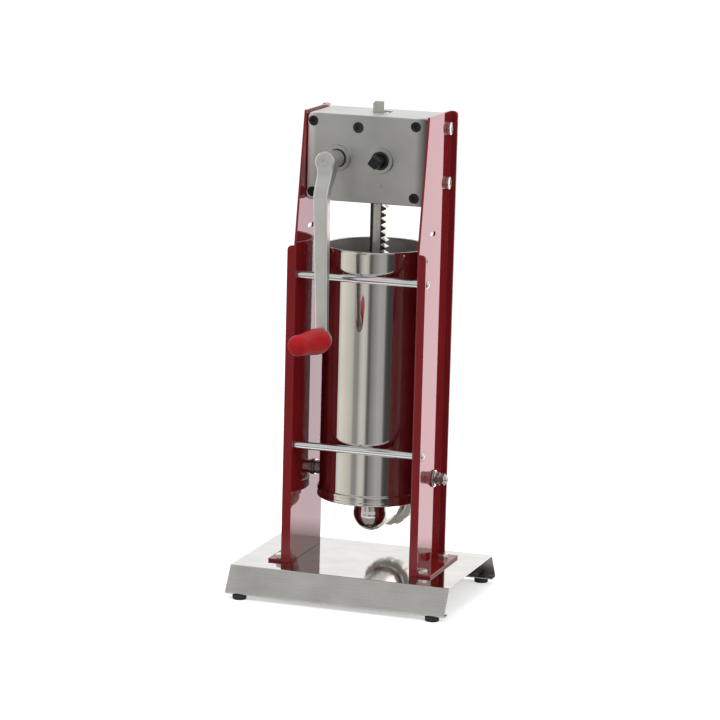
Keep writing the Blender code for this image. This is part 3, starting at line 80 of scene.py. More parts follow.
# Shapes
FINE = 96
SMALL = 48
WELD = 0.00002
NEAR = WELD * 4
SMOOTH_ANGLE = math.radians(32)
BROKEN_EDGE = 0.0003
THREAD_RADIUS = 0.0038
HEXAGON = 6
TURNS = {
    "+Z": ((1, 0, 0), (0, 1, 0), (0, 0, 1)),
    "+Y": ((1, 0, 0), (0, 0, 1), (0, -1, 0)),
    "-Y": ((1, 0, 0), (0, 0, -1), (0, 1, 0)),
    "+X": ((0, 0, 1), (0, 1, 0), (-1, 0, 0)),
    "-X": ((0, 0, -1), (0, 1, 0), (1, 0, 0)),
}

BODIES = frame["record"]["behaviour"]["bodies"]
BODY_OF = {node: body for body, nodes in BODIES.items() for node in nodes}
SLOT_OF = {name: item.data.materials[0].name.split(".")[0] for name, item in frame["nodes"].items()}
JOINTS = {joint["name"]: joint for joint in frame["joints"]}
SIDES = (("left", "-X", -1), ("right", "+X", 1))
SPINS = ("slow_spin", "fast_spin")
COVER_SCREWS = ("bottom_left", "bottom_right", "top_left", "top_right")

# Looks
WHITE = (1.0, 1.0, 1.0, 1.0)
BLACK = (0.0, 0.0, 0.0, 1.0)
NO_STRETCH = (1.0, 1.0, 1.0)
# Noise seldom leaves these ranges, so they are what is spread over a full range
CLOUD_RANGE = (0.3, 0.7)
NARROW_RANGE = (0.35, 0.65)
METALS = {
    # colour, least and most roughness, cloud scale, grain scale, stretch and depth, shades if not usual
    "fastener": ((0.54, 0.54, 0.52), 0.10, 0.20, 160.0, 1400.0, NO_STRETCH, 0.00003),
    "ring_nut": ((0.76, 0.75, 0.70), 0.36, 0.50, 60.0, 900.0, NO_STRETCH, 0.00003),
    "polished": ((0.68, 0.67, 0.645), 0.035, 0.075, 14.0, 1.0, (25.0, 25.0, 2600.0), 0.000004),
    "chrome": ((0.83, 0.84, 0.85), 0.05, 0.11, 40.0, 900.0, NO_STRETCH, 0.00001),
    "zinc": ((0.66, 0.65, 0.61), 0.18, 0.34, 160.0, 1400.0, NO_STRETCH, 0.00003),
    "steel": ((0.50, 0.50, 0.50), 0.22, 0.38, 90.0, 1200.0, NO_STRETCH, 0.00003),
    "casting": ((0.53, 0.535, 0.525), 0.34, 0.46, 12.0, 1100.0, NO_STRETCH, 0.00006, 0.82, 1.10),
    "crank_casting": ((0.66, 0.66, 0.635), 0.32, 0.44, 40.0, 1.0, (1600.0, 1600.0, 60.0), 0.00001),
}


# Places in the frame

def extent(name):
    """A CAD node's lowest and highest corner, and the middle between them."""
    low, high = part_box(name)
    return low, high, (low + high) / 2


def centre_of(name):
    return extent(name)[2]


def near_end(name, side):
    """The X at which a piece on one side of the machine begins, counted outwards."""
    low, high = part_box(name)
    return low.x if side > 0 else high.x


# Node trees

def node(tree, kind, **inputs):
    """Adds a node. Inputs that are sockets are linked, and others are set."""
    item = tree.nodes.new(kind)
    for name, value in inputs.items():
        key = int(name[1:]) if name[0] == "n" and name[1:].isdigit() else name.replace("_", " ")
        if isinstance(value, bpy.types.NodeSocket):
            tree.links.new(value, item.inputs[key])
        else:
            item.inputs[key].default_value = value
    return item


def math_node(tree, operation, first, second=0.0):
    item = tree.nodes.new("ShaderNodeMath")
    item.operation = operation
    for socket, value in zip(item.inputs, (first, second)):
        if isinstance(value, bpy.types.NodeSocket):
            tree.links.new(value, socket)
        else:
            socket.default_value = value
    return item.outputs[0]


def spread(tree, value, low, high, new_low, new_high):
    """Maps a value from one range to another, clamped."""
    item = node(tree, "ShaderNodeMapRange", Value=value, From_Min=low, From_Max=high,
                To_Min=new_low, To_Max=new_high)
    return item.outputs[0]


def clouded(tree, cloud, low, high):
    """Spreads a noise between two values."""
    return spread(tree, cloud, *CLOUD_RANGE, low, high)


def vector_math(tree, operation, **inputs):
    item = node(tree, "ShaderNodeVectorMath", **inputs)
    item.operation = operation
    return item


def place_of(tree, stretch=NO_STRETCH):
    """The point on the piece in metres, stretched per axis."""
    coordinate = tree.nodes.new("ShaderNodeTexCoord")
    mapping = node(tree, "ShaderNodeMapping", Vector=coordinate.outputs["Object"], Scale=stretch)
    return mapping.outputs[0]


def noise(tree, scale, stretch=NO_STRETCH, detail=3.0):
    item = node(tree, "ShaderNodeTexNoise", Vector=place_of(tree, stretch), Scale=scale, Detail=detail)
    return item.outputs[0]


def mix_colour(tree, share, first, second):
    item = tree.nodes.new("ShaderNodeMix")
    item.data_type = "RGBA"
    for key, value in ((0, share), (6, first), (7, second)):
        if isinstance(value, bpy.types.NodeSocket):
            tree.links.new(value, item.inputs[key])
        else:
            item.inputs[key].default_value = value
    return item.outputs[2]


def bump(tree, shader, height, strength, distance):
    item = node(tree, "ShaderNodeBump", Height=height, Strength=strength, Distance=distance)
    tree.links.new(item.outputs[0], shader.inputs["Normal"])


def shade(colour, factor):
    return (*[channel * factor for channel in colour], 1.0)


def surface(slot, colour, metallic, **constants):
    """A Principled material with its constants on its own sockets."""
    material = bpy.data.materials.new(slot + "_look")
    material.use_nodes = True
    material.diffuse_color = (*colour, 1.0)
    shader = material.node_tree.nodes["Principled BSDF"]
    shader.inputs["Base Color"].default_value = (*colour, 1.0)
    shader.inputs["Metallic"].default_value = metallic
    for name, value in constants.items():
        shader.inputs[name.replace("_", " ")].default_value = value
    return material, material.node_tree, shader


def tinted(tree, shader, colour, cloud, low, high):
    """Lets the base colour drift between two strengths of the colour."""
    mixed = mix_colour(tree, cloud, shade(colour, low), shade(colour, high))
    tree.links.new(mixed, shader.inputs["Base Color"])


def overlay(tree, shader, share, colour):
    """Lays a share of a colour over what the base colour is so far."""
    base = shader.inputs["Base Color"]
    tree.links.new(mix_colour(tree, share, base.links[0].from_socket, colour), base)


def metal(slot, colour, rough_low, rough_high, cloud_scale, grain_scale, grain_stretch, grain_depth,
          dark=0.94, light=1.04):
    """A metal with cloudy roughness and colour and a fine grain."""
    cloud_share = 0.6
    grain_share = 0.4
    material, tree, shader = surface(slot, colour, 1.0)
    cloud = noise(tree, cloud_scale)
    grain = noise(tree, grain_scale, grain_stretch, 2.0)
    mixed = math_node(tree, "ADD", math_node(tree, "MULTIPLY", cloud, cloud_share),
                      math_node(tree, "MULTIPLY", grain, grain_share))
    rough = spread(tree, mixed, *NARROW_RANGE, rough_low, rough_high)
    tree.links.new(rough, shader.inputs["Roughness"])
    tinted(tree, shader, colour, clouded(tree, cloud, 0.0, 1.0), dark, light)
    bump(tree, shader, grain, 0.5, grain_depth)
    return material, tree, shader


def plain_metal(name):
    return metal(name, *METALS[name])[0]


def stainless_look():
    """Brushed sheet whose top face is nearly a mirror and whose bent aprons are satin."""
    colour = (0.64, 0.625, 0.59)
    brushed_along_x = (18.0, 1500.0, 1500.0)
    level_from, level_to = 0.85, 0.99
    material, tree, shader = surface("stainless", colour, 1.0)
    normal = tree.nodes.new("ShaderNodeNewGeometry").outputs["Normal"]
    upward = node(tree, "ShaderNodeSeparateXYZ", Vector=normal).outputs[2]
    level = spread(tree, upward, level_from, level_to, 0.0, 1.0)
    cloud = noise(tree, 26.0, detail=4.0)
    lines = noise(tree, 1.0, brushed_along_x, 2.0)
    satin = clouded(tree, cloud, 0.27, 0.36)
    mirror = clouded(tree, cloud, 0.04, 0.08)
    sloping = math_node(tree, "SUBTRACT", 1.0, level)
    rough = math_node(tree, "ADD", math_node(tree, "MULTIPLY", satin, sloping),
                      math_node(tree, "MULTIPLY", mirror, level))
    tree.links.new(rough, shader.inputs["Roughness"])
    both = spread(tree, math_node(tree, "ADD", cloud, lines), 0.7, 1.3, 0.0, 1.0)
    tinted(tree, shader, colour, both, 0.84, 1.08)
    bump(tree, shader, lines, 0.25, 0.00004)
    return material


def cover_look():
    """The cover's cast metal, with a painted highlight along its left edge and painted shade along its right edge.
    """
    bright = (0.95, 0.95, 0.94, 1.0)
    painted_shade_colour = (0.09, 0.08, 0.08, 1.0)
    deepest_painted_shade = 0.90
    material, tree, shader = metal("cover", *METALS["casting"])
    low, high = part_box("gearbox_cover")
    across = node(tree, "ShaderNodeSeparateXYZ", Vector=place_of(tree)).outputs[0]
    # Painted highlight lightens the colour towards the left edge, and painted shade darkens it towards the right
    # edge
    painted_highlight_share = spread(tree, across, low.x + 0.0035, low.x + 0.0130, 1.0, 0.0)
    painted_shade_share = spread(tree, across, high.x - 0.0160, high.x - 0.0030, 0.0, deepest_painted_shade)
    overlay(tree, shader, painted_highlight_share, bright)
    overlay(tree, shader, painted_shade_share, painted_shade_colour)
    return material


def paint_look():
    """Deep red enamel with a faint orange-peel under a clear glossy coat."""
    colour = (0.195, 0.0100, 0.0130)
    material, tree, shader = surface("red_paint", colour, 0.0, Coat_Weight=1.0, Coat_Roughness=0.02,
                                     Coat_IOR=1.4, Roughness=0.5, Specular_IOR_Level=0.0)
    cloud = noise(tree, 9.0)
    tinted(tree, shader, colour, clouded(tree, cloud, 0.0, 1.0), 0.92, 1.08)
    bump(tree, shader, noise(tree, 260.0, detail=1.0), 0.04, 0.0004)
    return material


def plastic_look(slot, colour, rough_low, rough_high, grain_scale, grain_depth, **constants):
    material, tree, shader = surface(slot, colour, 0.0, **constants)
    cloud = noise(tree, 70.0)
    tree.links.new(clouded(tree, cloud, rough_low, rough_high), shader.inputs["Roughness"])
    tinted(tree, shader, colour, clouded(tree, cloud, 0.0, 1.0), 0.88, 1.12)
    bump(tree, shader, noise(tree, grain_scale, detail=2.0), 0.3, grain_depth)
    return material


def black_steel_look():
    colour = (0.022, 0.022, 0.024)
    material, tree, shader = surface("black_steel", colour, 0.7)
    cloud = noise(tree, 220.0)
    tree.links.new(clouded(tree, cloud, 0.28, 0.46), shader.inputs["Roughness"])
    tinted(tree, shader, colour, cloud, 0.6, 1.6)
    bump(tree, shader, noise(tree, 1300.0), 0.3, 0.00004)
    return material


def pot_look():
    """The pot's polished skin, with a duller and darker inside."""
    inner_colour = (0.62, 0.60, 0.57, 1.0)
    inner_rough = 0.42
    inside_to, outside_from = 0.0686, 0.0690
    middle = centre_of("cylinder")
    material, tree, shader = metal("pot", *METALS["polished"])
    offset = vector_math(tree, "SUBTRACT", n0=place_of(tree), n1=(middle.x, middle.y, 0.0))
    parts = node(tree, "ShaderNodeSeparateXYZ", Vector=offset.outputs[0])
    flat = node(tree, "ShaderNodeCombineXYZ", X=parts.outputs[0], Y=parts.outputs[1])
    reach = vector_math(tree, "LENGTH", n0=flat.outputs[0])
    inside = spread(tree, reach.outputs["Value"], inside_to, outside_from, 1.0, 0.0)
    rough = shader.inputs["Roughness"]
    mixed = node(tree, "ShaderNodeMix", n0=inside, n2=rough.links[0].from_socket, n3=inner_rough)
    tree.links.new(mixed.outputs[0], rough)
    overlay(tree, shader, inside, inner_colour)
    return material


def rack_look():
    """Steel with a grimy back edge and gullets, and a band down its face rubbed bright by the guide."""
    dark_streak, light_streak = (0.56, 0.58, 0.54, 1.0), (0.84, 0.86, 0.81, 1.0)
    grime_colour = (0.075, 0.060, 0.055, 1.0)
    grime_rough = 0.50
    raggedness = 0.0012
    material, tree, shader = surface("rack", (0.5, 0.5, 0.5), 1.0)
    low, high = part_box("rack")
    parts = node(tree, "ShaderNodeSeparateXYZ", Vector=place_of(tree))
    streaks = noise(tree, 1.0, (1400.0, 1400.0, 14.0), 3.0)
    cloud = noise(tree, 120.0)
    ragged = math_node(tree, "ADD", parts.outputs[0], math_node(tree, "MULTIPLY", streaks, raggedness))
    rubbed = math_node(tree, "MULTIPLY", spread(tree, ragged, low.x + 0.0042, low.x + 0.0056, 0.0, 1.0),
                       spread(tree, ragged, low.x + 0.0140, low.x + 0.0156, 1.0, 0.0))
    front = spread(tree, parts.outputs[1], low.y + 0.0003, low.y + 0.0005, 1.0, 0.0)
    under_end = spread(tree, parts.outputs[2], high.z - 0.045, high.z - 0.035, 1.0, 0.0)
    grime = math_node(tree, "MULTIPLY", math_node(tree, "MULTIPLY", front, under_end),
                      math_node(tree, "SUBTRACT", 1.0, rubbed))
    streaked = mix_colour(tree, spread(tree, streaks, *NARROW_RANGE, 0.0, 1.0), dark_streak, light_streak)
    tree.links.new(mix_colour(tree, grime, streaked, grime_colour), shader.inputs["Base Color"])
    rough = node(tree, "ShaderNodeMix", n0=grime, n2=clouded(tree, cloud, 0.24, 0.36), n3=grime_rough)
    tree.links.new(rough.outputs[0], shader.inputs["Roughness"])
    bump(tree, shader, streaks, 0.3, 0.00003)
    return material


def looks():
    """Every finish by name. Most are named after a slot, and show() is told of the others."""
    return {
        "fastener": plain_metal("fastener"),
        "pot": pot_look(),
        "rack": rack_look(),
        "ring_nut": plain_metal("ring_nut"),
        "stainless": stainless_look(),
        "polished": plain_metal("polished"),
        "chrome": plain_metal("chrome"),
        "zinc": plain_metal("zinc"),
        "steel": plain_metal("steel"),
        "casting": plain_metal("casting"),
        "cover": cover_look(),
        "crank_casting": plain_metal("crank_casting"),
        "red_paint": paint_look(),
        "black_steel": black_steel_look(),
        "black_plastic": plastic_look("black_plastic", (0.014, 0.014, 0.015), 0.34, 0.50, 900.0, 0.00004),
        "red_plastic": plastic_look("red_plastic", (0.38, 0.010, 0.013), 0.38, 0.50, 350.0, 0.00003, IOR=1.2,
                                    Coat_Weight=0.16, Coat_IOR=1.3, Coat_Roughness=0.10),
        "rubber": plastic_look("rubber", (0.016, 0.016, 0.016), 0.62, 0.80, 1500.0, 0.00008),
        "silicone": plastic_look("silicone", (0.62, 0.60, 0.55), 0.45, 0.60, 600.0, 0.00004),
    }


LOOKS = looks()


# Mesh building

def facet(corners, turn):
    """How far a polygon's edge lies from its centre, as a share of its corner radius."""
    step = 2 * math.pi / corners
    return math.cos(step / 2) / math.cos(turn % step - step / 2)


def turned(profile, sides=SMALL, ring=False):
    """Turns (radius, height) pairs round Z.

    A third value makes that level a polygon, and a fourth cuts its corners off at a radius.
    """
    shape = bmesh.new()
    levels = []
    for radius, height, *polygon in profile:
        if not radius:
            levels.append([shape.verts.new((0.0, 0.0, height))])
            continue
        level = []
        for step in range(sides):
            angle = 2 * math.pi * step / sides
            reach = radius * (facet(polygon[0], angle) if polygon else 1.0)
            reach = min([reach, *polygon[1:]])
            level.append(shape.verts.new((reach * math.cos(angle), reach * math.sin(angle), height)))
        levels.append(level)
    pairs = list(zip(levels, levels[1:]))
    if ring:
        pairs.append((levels[-1], levels[0]))
    for low, high in pairs:
        for step in range(sides):
            after = (step + 1) % sides
            if len(low) == 1:
                shape.faces.new((low[0], high[step], high[after]))
            elif len(high) == 1:
                shape.faces.new((low[step], low[after], high[0]))
            else:
                shape.faces.new((low[step], low[after], high[after], high[step]))
    return shape


def capped(*profile):
    return [(0.0, profile[0][1]), *profile, (0.0, profile[-1][1])]


def arc(centre, radius, start, end, steps=6):
    """Points along an arc in a profile, angles in degrees."""
    turns = [math.radians(start + (end - start) * k / steps) for k in range(steps + 1)]
    return [(centre[0] + radius * math.cos(t), centre[1] + radius * math.sin(t)) for t in turns]


def laid(shape, centre, axis):
    """Lays a shape's Z along the axis and moves it to its centre."""
    shape.transform(Matrix.Translation(centre) @ Matrix(TURNS[axis]).to_4x4())
    return shape


def mesh_of(name, shape):
    bmesh.ops.recalc_face_normals(shape, faces=shape.faces)
    mesh = bpy.data.meshes.new(name)
    shape.to_mesh(mesh)
    shape.free()
    if "custom_normal" in mesh.attributes:
        mesh.attributes.remove(mesh.attributes["custom_normal"])
    mesh.shade_smooth()
    mesh.set_sharp_from_angle(angle=SMOOTH_ANGLE)
    return mesh


def scratch(shape):
    """An object that only takes part in a Boolean."""
    item = bpy.data.objects.new("scratch", mesh_of("scratch", shape))
    bpy.context.scene.collection.objects.link(item)
    return item


def carved(shape, adds=(), cuts=()):
    """Joins and cuts closed shapes, and returns the result as a new shape."""
    item = scratch(shape)
    extras = []
    for operation, others in (("UNION", adds), ("DIFFERENCE", cuts)):
        if not others:
            continue
        group = bpy.data.collections.new("scratch")
        for other in others:
            helper = scratch(other)
            group.objects.link(helper)
            extras.append(helper)
        modifier = item.modifiers.new(operation, "BOOLEAN")
        modifier.operation = operation
        modifier.solver = "EXACT"
        modifier.operand_type = "COLLECTION"
        modifier.collection = group
    result = bmesh.new()
    result.from_object(item, bpy.context.evaluated_depsgraph_get())
    for used in [item, *extras]:
        bpy.data.objects.remove(used)
    return result


def show(name, shape, *nodes, look=None):
    """Makes a visible piece that stands for CAD nodes, with their body and finish."""
    item = bpy.data.objects.new(name, mesh_of(name, shape))
    bpy.context.scene.collection.objects.link(item)
    normals = item.modifiers.new("flat_faces", "WEIGHTED_NORMAL")
    normals.weight = 100
    normals.thresh = 0.000001
    normals.keep_sharp = True
    slot = SLOT_OF[nodes[0]]
    item.data.materials.append(LOOKS[look or slot])
    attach(item, BODY_OF[nodes[0]])
    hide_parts(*nodes)
    return item


def cad_shape(name):
    """A CAD node's shape with its triangles welded back into flat faces."""
    shape = bmesh.new()
    shape.from_mesh(frame["nodes"][name].data)
    bmesh.ops.remove_doubles(shape, verts=shape.verts, dist=WELD)
    bmesh.ops.dissolve_limit(shape, angle_limit=math.radians(1), verts=shape.verts, edges=shape.edges)
    return shape


def soften(shape, width, segments=2, chosen=None):
    """Rounds sharp edges, or the chosen ones."""
    edges = [e for e in shape.edges if len(e.link_faces) == 2 and e.calc_face_angle() > SMOOTH_ANGLE]
    if chosen:
        edges = [e for e in edges if chosen(e)]
    bmesh.ops.bevel(shape, geom=edges, offset=width, offset_type="OFFSET", segments=segments,
                    profile=0.5, affect="EDGES", clamp_overlap=True)


# Pieces

def build_side_frames():
    """Folded sheet: rounded bends, then slightly broken edges."""
    bend = 0.0032
    inner_bend = 0.0010
    broken = 0.00035
    sheet = 0.003
    for word, _, _ in SIDES:
        name = word + "_side_frame"
        low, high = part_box(name)
        inner = min(abs(low.x), abs(high.x))
        front, rear = low.y, high.y

        def stands_at(edge, x, ys):
            a, b = (v.co for v in edge.verts)
            upright = abs(a.x - b.x) + abs(a.y - b.y) < NEAR
            near = abs(abs(a.x) - x) < NEAR and min(abs(a.y - y) for y in ys) < NEAR
            return upright and near

        shape = cad_shape(name)
        soften(shape, bend, 5, lambda e: stands_at(e, inner, (front, rear)))
        soften(shape, inner_bend, 3, lambda e: stands_at(e, inner + sheet, (front + sheet, rear - sheet)))
        soften(shape, broken)
        # Corners that the softening shrank to a point would be shaded wrongly
        bmesh.ops.remove_doubles(shape, verts=shape.verts, dist=WELD)
        show(name + "_sheet", shape, name)


def build_base():
    shape = cad_shape("base_plate")
    soften(shape, BROKEN_EDGE)
    show("base_plate_sheet", shape, "base_plate")


def build_feet():
    """Rubber feet, each with a stem through the base plate's lip and a barb above it."""
    edge = 0.0014
    stem = 0.0035
    barb = 0.0046
    barb_height = 0.0025
    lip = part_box("base_plate")[0].z
    for end in ("front", "rear"):
        for word, _, _ in SIDES:
            name = f"foot_{end}_{word}"
            low, high, middle = extent(name)
            radius = (high.x - low.x) / 2
            profile = [(0.0, 0.0), (radius - edge * 2, 0.0)]
            profile += arc((radius - edge, edge), edge, -90, 0)
            profile += arc((radius - edge / 2, lip - edge / 2), edge / 2, 0, 90)
            profile += [(stem, lip), (stem, high.z - barb_height), (barb, high.z - barb_height),
                        (stem, high.z), (0.0, high.z)]
            show(name + "_rubber", laid(turned(profile), (middle.x, middle.y, 0.0), "+Z"), name)


def hex_top(radius, height):
    """Profile of a hexagon head from zero up: bevelled corners and a flat top."""
    flat = radius * math.cos(math.pi / HEXAGON)
    return [(radius, 0.0, HEXAGON), (radius, height * 0.72, HEXAGON),
            (radius, height * 0.80, HEXAGON, radius * 0.985),
            (flat * 0.99, height * 0.97, HEXAGON, flat * 0.965), (flat * 0.90, height)]


def build_frame_bolts():
    flange_top = 0.0033
    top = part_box("left_side_frame")[0].z + flange_top
    for place in ("front_left", "front_right", "rear_left", "rear_right"):
        name = "frame_bolt_" + place
        low, high, middle = extent(name)
        profile = [(0.0, low.z - top), (THREAD_RADIUS, low.z - top), (THREAD_RADIUS, 0.0)]
        profile += hex_top((high.x - low.x) / 2, high.z - top) + [(0.0, high.z - top)]
        show(name + "_head", laid(turned(profile), (middle.x, middle.y, top), "+Z"), name)


def dome_nut(radius, hex_height, dome_radius, height, bore, depth):
    """Profile of a domed nut standing on zero."""
    return [(0.0, depth), (bore, depth), (bore, 0.0), (radius * 0.93, 0.0),
            (radius, 0.0005, HEXAGON, radius * 0.97), (radius, hex_height * 0.8, HEXAGON),
            (radius * 0.99, hex_height, HEXAGON, radius * 0.90), (dome_radius * 1.02, hex_height * 1.04),
            *arc((0.0, height - dome_radius), dome_radius, 0, 84, 12), (0.0, height)]


def build_tie_rods():
    """Bars with thinner threaded ends, and the domed nuts outside the side frames."""
    edge = 0.0004
    gap = 0.0003
    inner = min(abs(c.x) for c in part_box("right_side_frame")) - gap
    for level in ("upper", "lower"):
        name = level + "_tie_rod"
        low, high, middle = extent(name)
        radius = (high.y - low.y) / 2
        profile = capped((THREAD_RADIUS, low.x), (THREAD_RADIUS, -inner), (radius - edge, -inner),
                         (radius, -inner + edge), (radius, inner - edge), (radius - edge, inner),
                         (THREAD_RADIUS, inner), (THREAD_RADIUS, high.x))
        show(name + "_bar", laid(turned(profile), (0.0, middle.y, middle.z), "+X"), name)
        for word, axis, side in SIDES:
            nut = f"{level}_rod_cap_nut_{word}"
            profile = dome_nut(radius=0.0078, hex_height=0.0052, dome_radius=0.0064, height=0.0112,
                               bore=0.0041, depth=0.0076)
            place = (near_end(nut, side), middle.y, middle.z)
            show(nut + "_dome", laid(turned(profile), place, axis), nut, look="fastener")


def build_cylinder():
    """The drawn pot with a rolled rim, a stepped band round its foot and two pivot blocks."""
    low, high, middle = extent("cylinder")
    neck = 0.020
    band = (high.y - low.y) / 2
    groove = band - 0.0005
    wall = 0.0015
    radius = 0.070
    inner = radius - wall
    height = high.z - low.z
    bead = 0.0015
    profile = [(neck, 0.0), (band - 0.0025, 0.0)]
    profile += arc((band - 0.0018, 0.0018), 0.0018, -80, 0)
    profile += [(band, 0.0042), (groove, 0.0048), (groove, 0.0088), (band, 0.0094)]
    profile += arc((band - 0.0012, 0.0118), 0.0012, 0, 70)
    profile += [(radius + 0.0002, 0.0134), (radius, 0.0142), (radius, height - 2.4 * bead)]
    profile += arc((radius - bead + 0.0008, height - bead), bead, -30, 180, 14)
    profile += [(inner, height - 2.0 * bead), (inner, 0.006)]
    profile += arc((inner - 0.0035, 0.006), 0.0035, 0, -90)
    profile += [(neck, 0.0025)]
    pot = laid(turned(profile, 2 * FINE, ring=True), (middle.x, middle.y, low.z), "+Z")
    pivot = centre_of("pivot_stud_right")
    block = capped((0.009, inner + wall / 2), (0.009, high.x - 0.0006), (0.0084, high.x))
    blocks = [laid(turned(block), (0.0, pivot.y, pivot.z), axis) for _, axis, _ in SIDES]
    show("cylinder_pot", carved(pot, blocks), "cylinder", look="pot")


def build_pivots():
    """The studs that the pot tilts on, with their washers, lock nuts and domed nuts."""
    stud = 0.0048
    bore = 0.0051
    hexagon = 0.0088
    for word, axis, side in SIDES:
        for start in ("pivot_inner_washer_", "pivot_outer_washer_"):
            name = start + word
            low, high, middle = extent(name)
            radius = (high.y - low.y) / 2
            thick = high.x - low.x
            edge = min(BROKEN_EDGE, thick / 4)
            profile = [(bore, 0.0), (radius - edge, 0.0), (radius, edge), (radius, thick - edge),
                       (radius - edge, thick), (bore, thick)]
            place = (near_end(name, side), middle.y, middle.z)
            show(name + "_ring", laid(turned(profile, ring=True), place, axis), name, look="fastener")
        name = "pivot_lock_nut_" + word
        low, high, middle = extent(name)
        thick = high.x - low.x
        profile = [(bore, 0.0), (0.0096, 0.0), (0.010, 0.0006), (0.010, 0.0011), (0.0090, 0.0016),
                   (hexagon, 0.0018, HEXAGON), (hexagon, thick - 0.0012, HEXAGON),
                   (hexagon, thick - 0.0004, HEXAGON, 0.0080), (0.0072, thick), (bore, thick)]
        place = (near_end(name, side), middle.y, middle.z)
        show(name + "_hex", laid(turned(profile, ring=True), place, axis), name, look="fastener")
        name = "pivot_cap_nut_" + word
        profile = dome_nut(radius=0.0084, hex_height=0.0060, dome_radius=0.0068, height=0.0112,
                           bore=bore, depth=0.0078)
        place = (near_end(name, side), middle.y, middle.z)
        show(name + "_dome", laid(turned(profile), place, axis), name, look="fastener")
        name = "pivot_stud_" + word
        low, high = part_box(name)
        profile = capped((stud, 0.0), (stud, high.x - low.x))
        place = (near_end(name, side), middle.y, middle.z)
        show(name + "_bar", laid(turned(profile), place, axis), name)


def build_outlet():
    """The cast elbow: a neck from the pot's floor and a level tube with a round closed end."""
    low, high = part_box("outlet_elbow")
    pot = centre_of("piston_disc")
    axis_height = 0.0265
    axis_z = low.z + axis_height
    radius = 0.0235
    wall = 0.0025
    neck_radius = 0.0226
    neck_bore = 0.0201
    past = 0.004
    collar = (high.x - low.x) / 2
    collar_edge = 0.0006
    pitch = 0.002
    valley = collar - 0.0007
    end = high.y - pot.y
    tube = [(0.0, -radius)] + [(-x, y) for x, y in arc((0.0, 0.0), radius, -96, -180, 16)][:-1]
    tube += [(radius, 0.0), (radius, end - 0.0125), (collar - collar_edge, end - 0.0121)]
    ridge = end - 0.0115
    while ridge < end - pitch:
        tube += [(collar, ridge), (collar, ridge + 0.0006), (valley, ridge + 0.0011),
                 (valley, ridge + 0.0015)]
        ridge += pitch
    tube += [(collar - collar_edge, end), (0.0, end)]
    place = (0.0, pot.y, axis_z)
    neck = turned(capped((neck_radius, -0.005), (neck_radius, high.z - axis_z)), FINE)
    hollow = [(0.0, wall - radius)]
    hollow += [(-x, y) for x, y in arc((0.0, 0.0), radius - wall, -96, -180, 12)][:-1]
    hollow += [(radius - wall, 0.0), (radius - wall, end + past), (0.0, end + past)]
    bore = turned(capped((neck_bore, -0.002), (neck_bore, high.z - axis_z + past)), FINE)
    shape = carved(laid(turned(tube, FINE), place, "+Y"), [laid(neck, place, "+Z")],
                   [laid(turned(hollow, FINE), place, "+Y"), laid(bore, place, "+Z")])
    show("outlet_elbow_pipe", shape, "outlet_elbow")


def build_ring_nut():
    """The ring nut with its grip notches and softened rims."""
    low, high, middle = extent("outlet_ring_nut")
    radius = (high.x - low.x) / 2
    length = high.y - low.y
    notches = 12
    half_notch = math.radians(6.6)
    depth = 0.0014
    edge = 0.0016
    thread, thread_end = 0.0268, 0.0118
    mouth = 0.0215
    outer_from = 0.028
    outer = arc((radius - edge, edge), edge, -90, 0, 5) + arc((radius - edge, length - edge), edge, 0, 90, 5)
    profile = [(thread, 0.0), *outer, (0.0222, length), (mouth, length - 0.0007),
               (mouth, thread_end), (thread, thread_end)]
    shape = turned(profile, 24 * notches, ring=True)
    for vert in shape.verts:
        reach = math.hypot(vert.co.x, vert.co.y)
        if reach > outer_from:
            turn = math.atan2(vert.co.y, vert.co.x) % (2 * math.pi / notches) - math.pi / notches
            sink = depth * max(0.0, 1 - (turn / half_notch) ** 2)
            vert.co.xy *= (reach - sink) / reach
    show("outlet_ring_nut_knurl", laid(shape, (middle.x, low.y, middle.z), "+Y"), "outlet_ring_nut",
         look="ring_nut")


def key_head(radius, height, edge, key, depth):
    """Profile of a round head with a hexagon socket, from its rim at zero to the socket's floor."""
    return [(radius, 0.0), *arc((radius - edge, height - edge), edge, 0, 90, 4), (key + 0.0005, height),
            (key, height - 0.0004, HEXAGON), (key, height - depth, HEXAGON), (0.0, height - depth - 0.0004)]


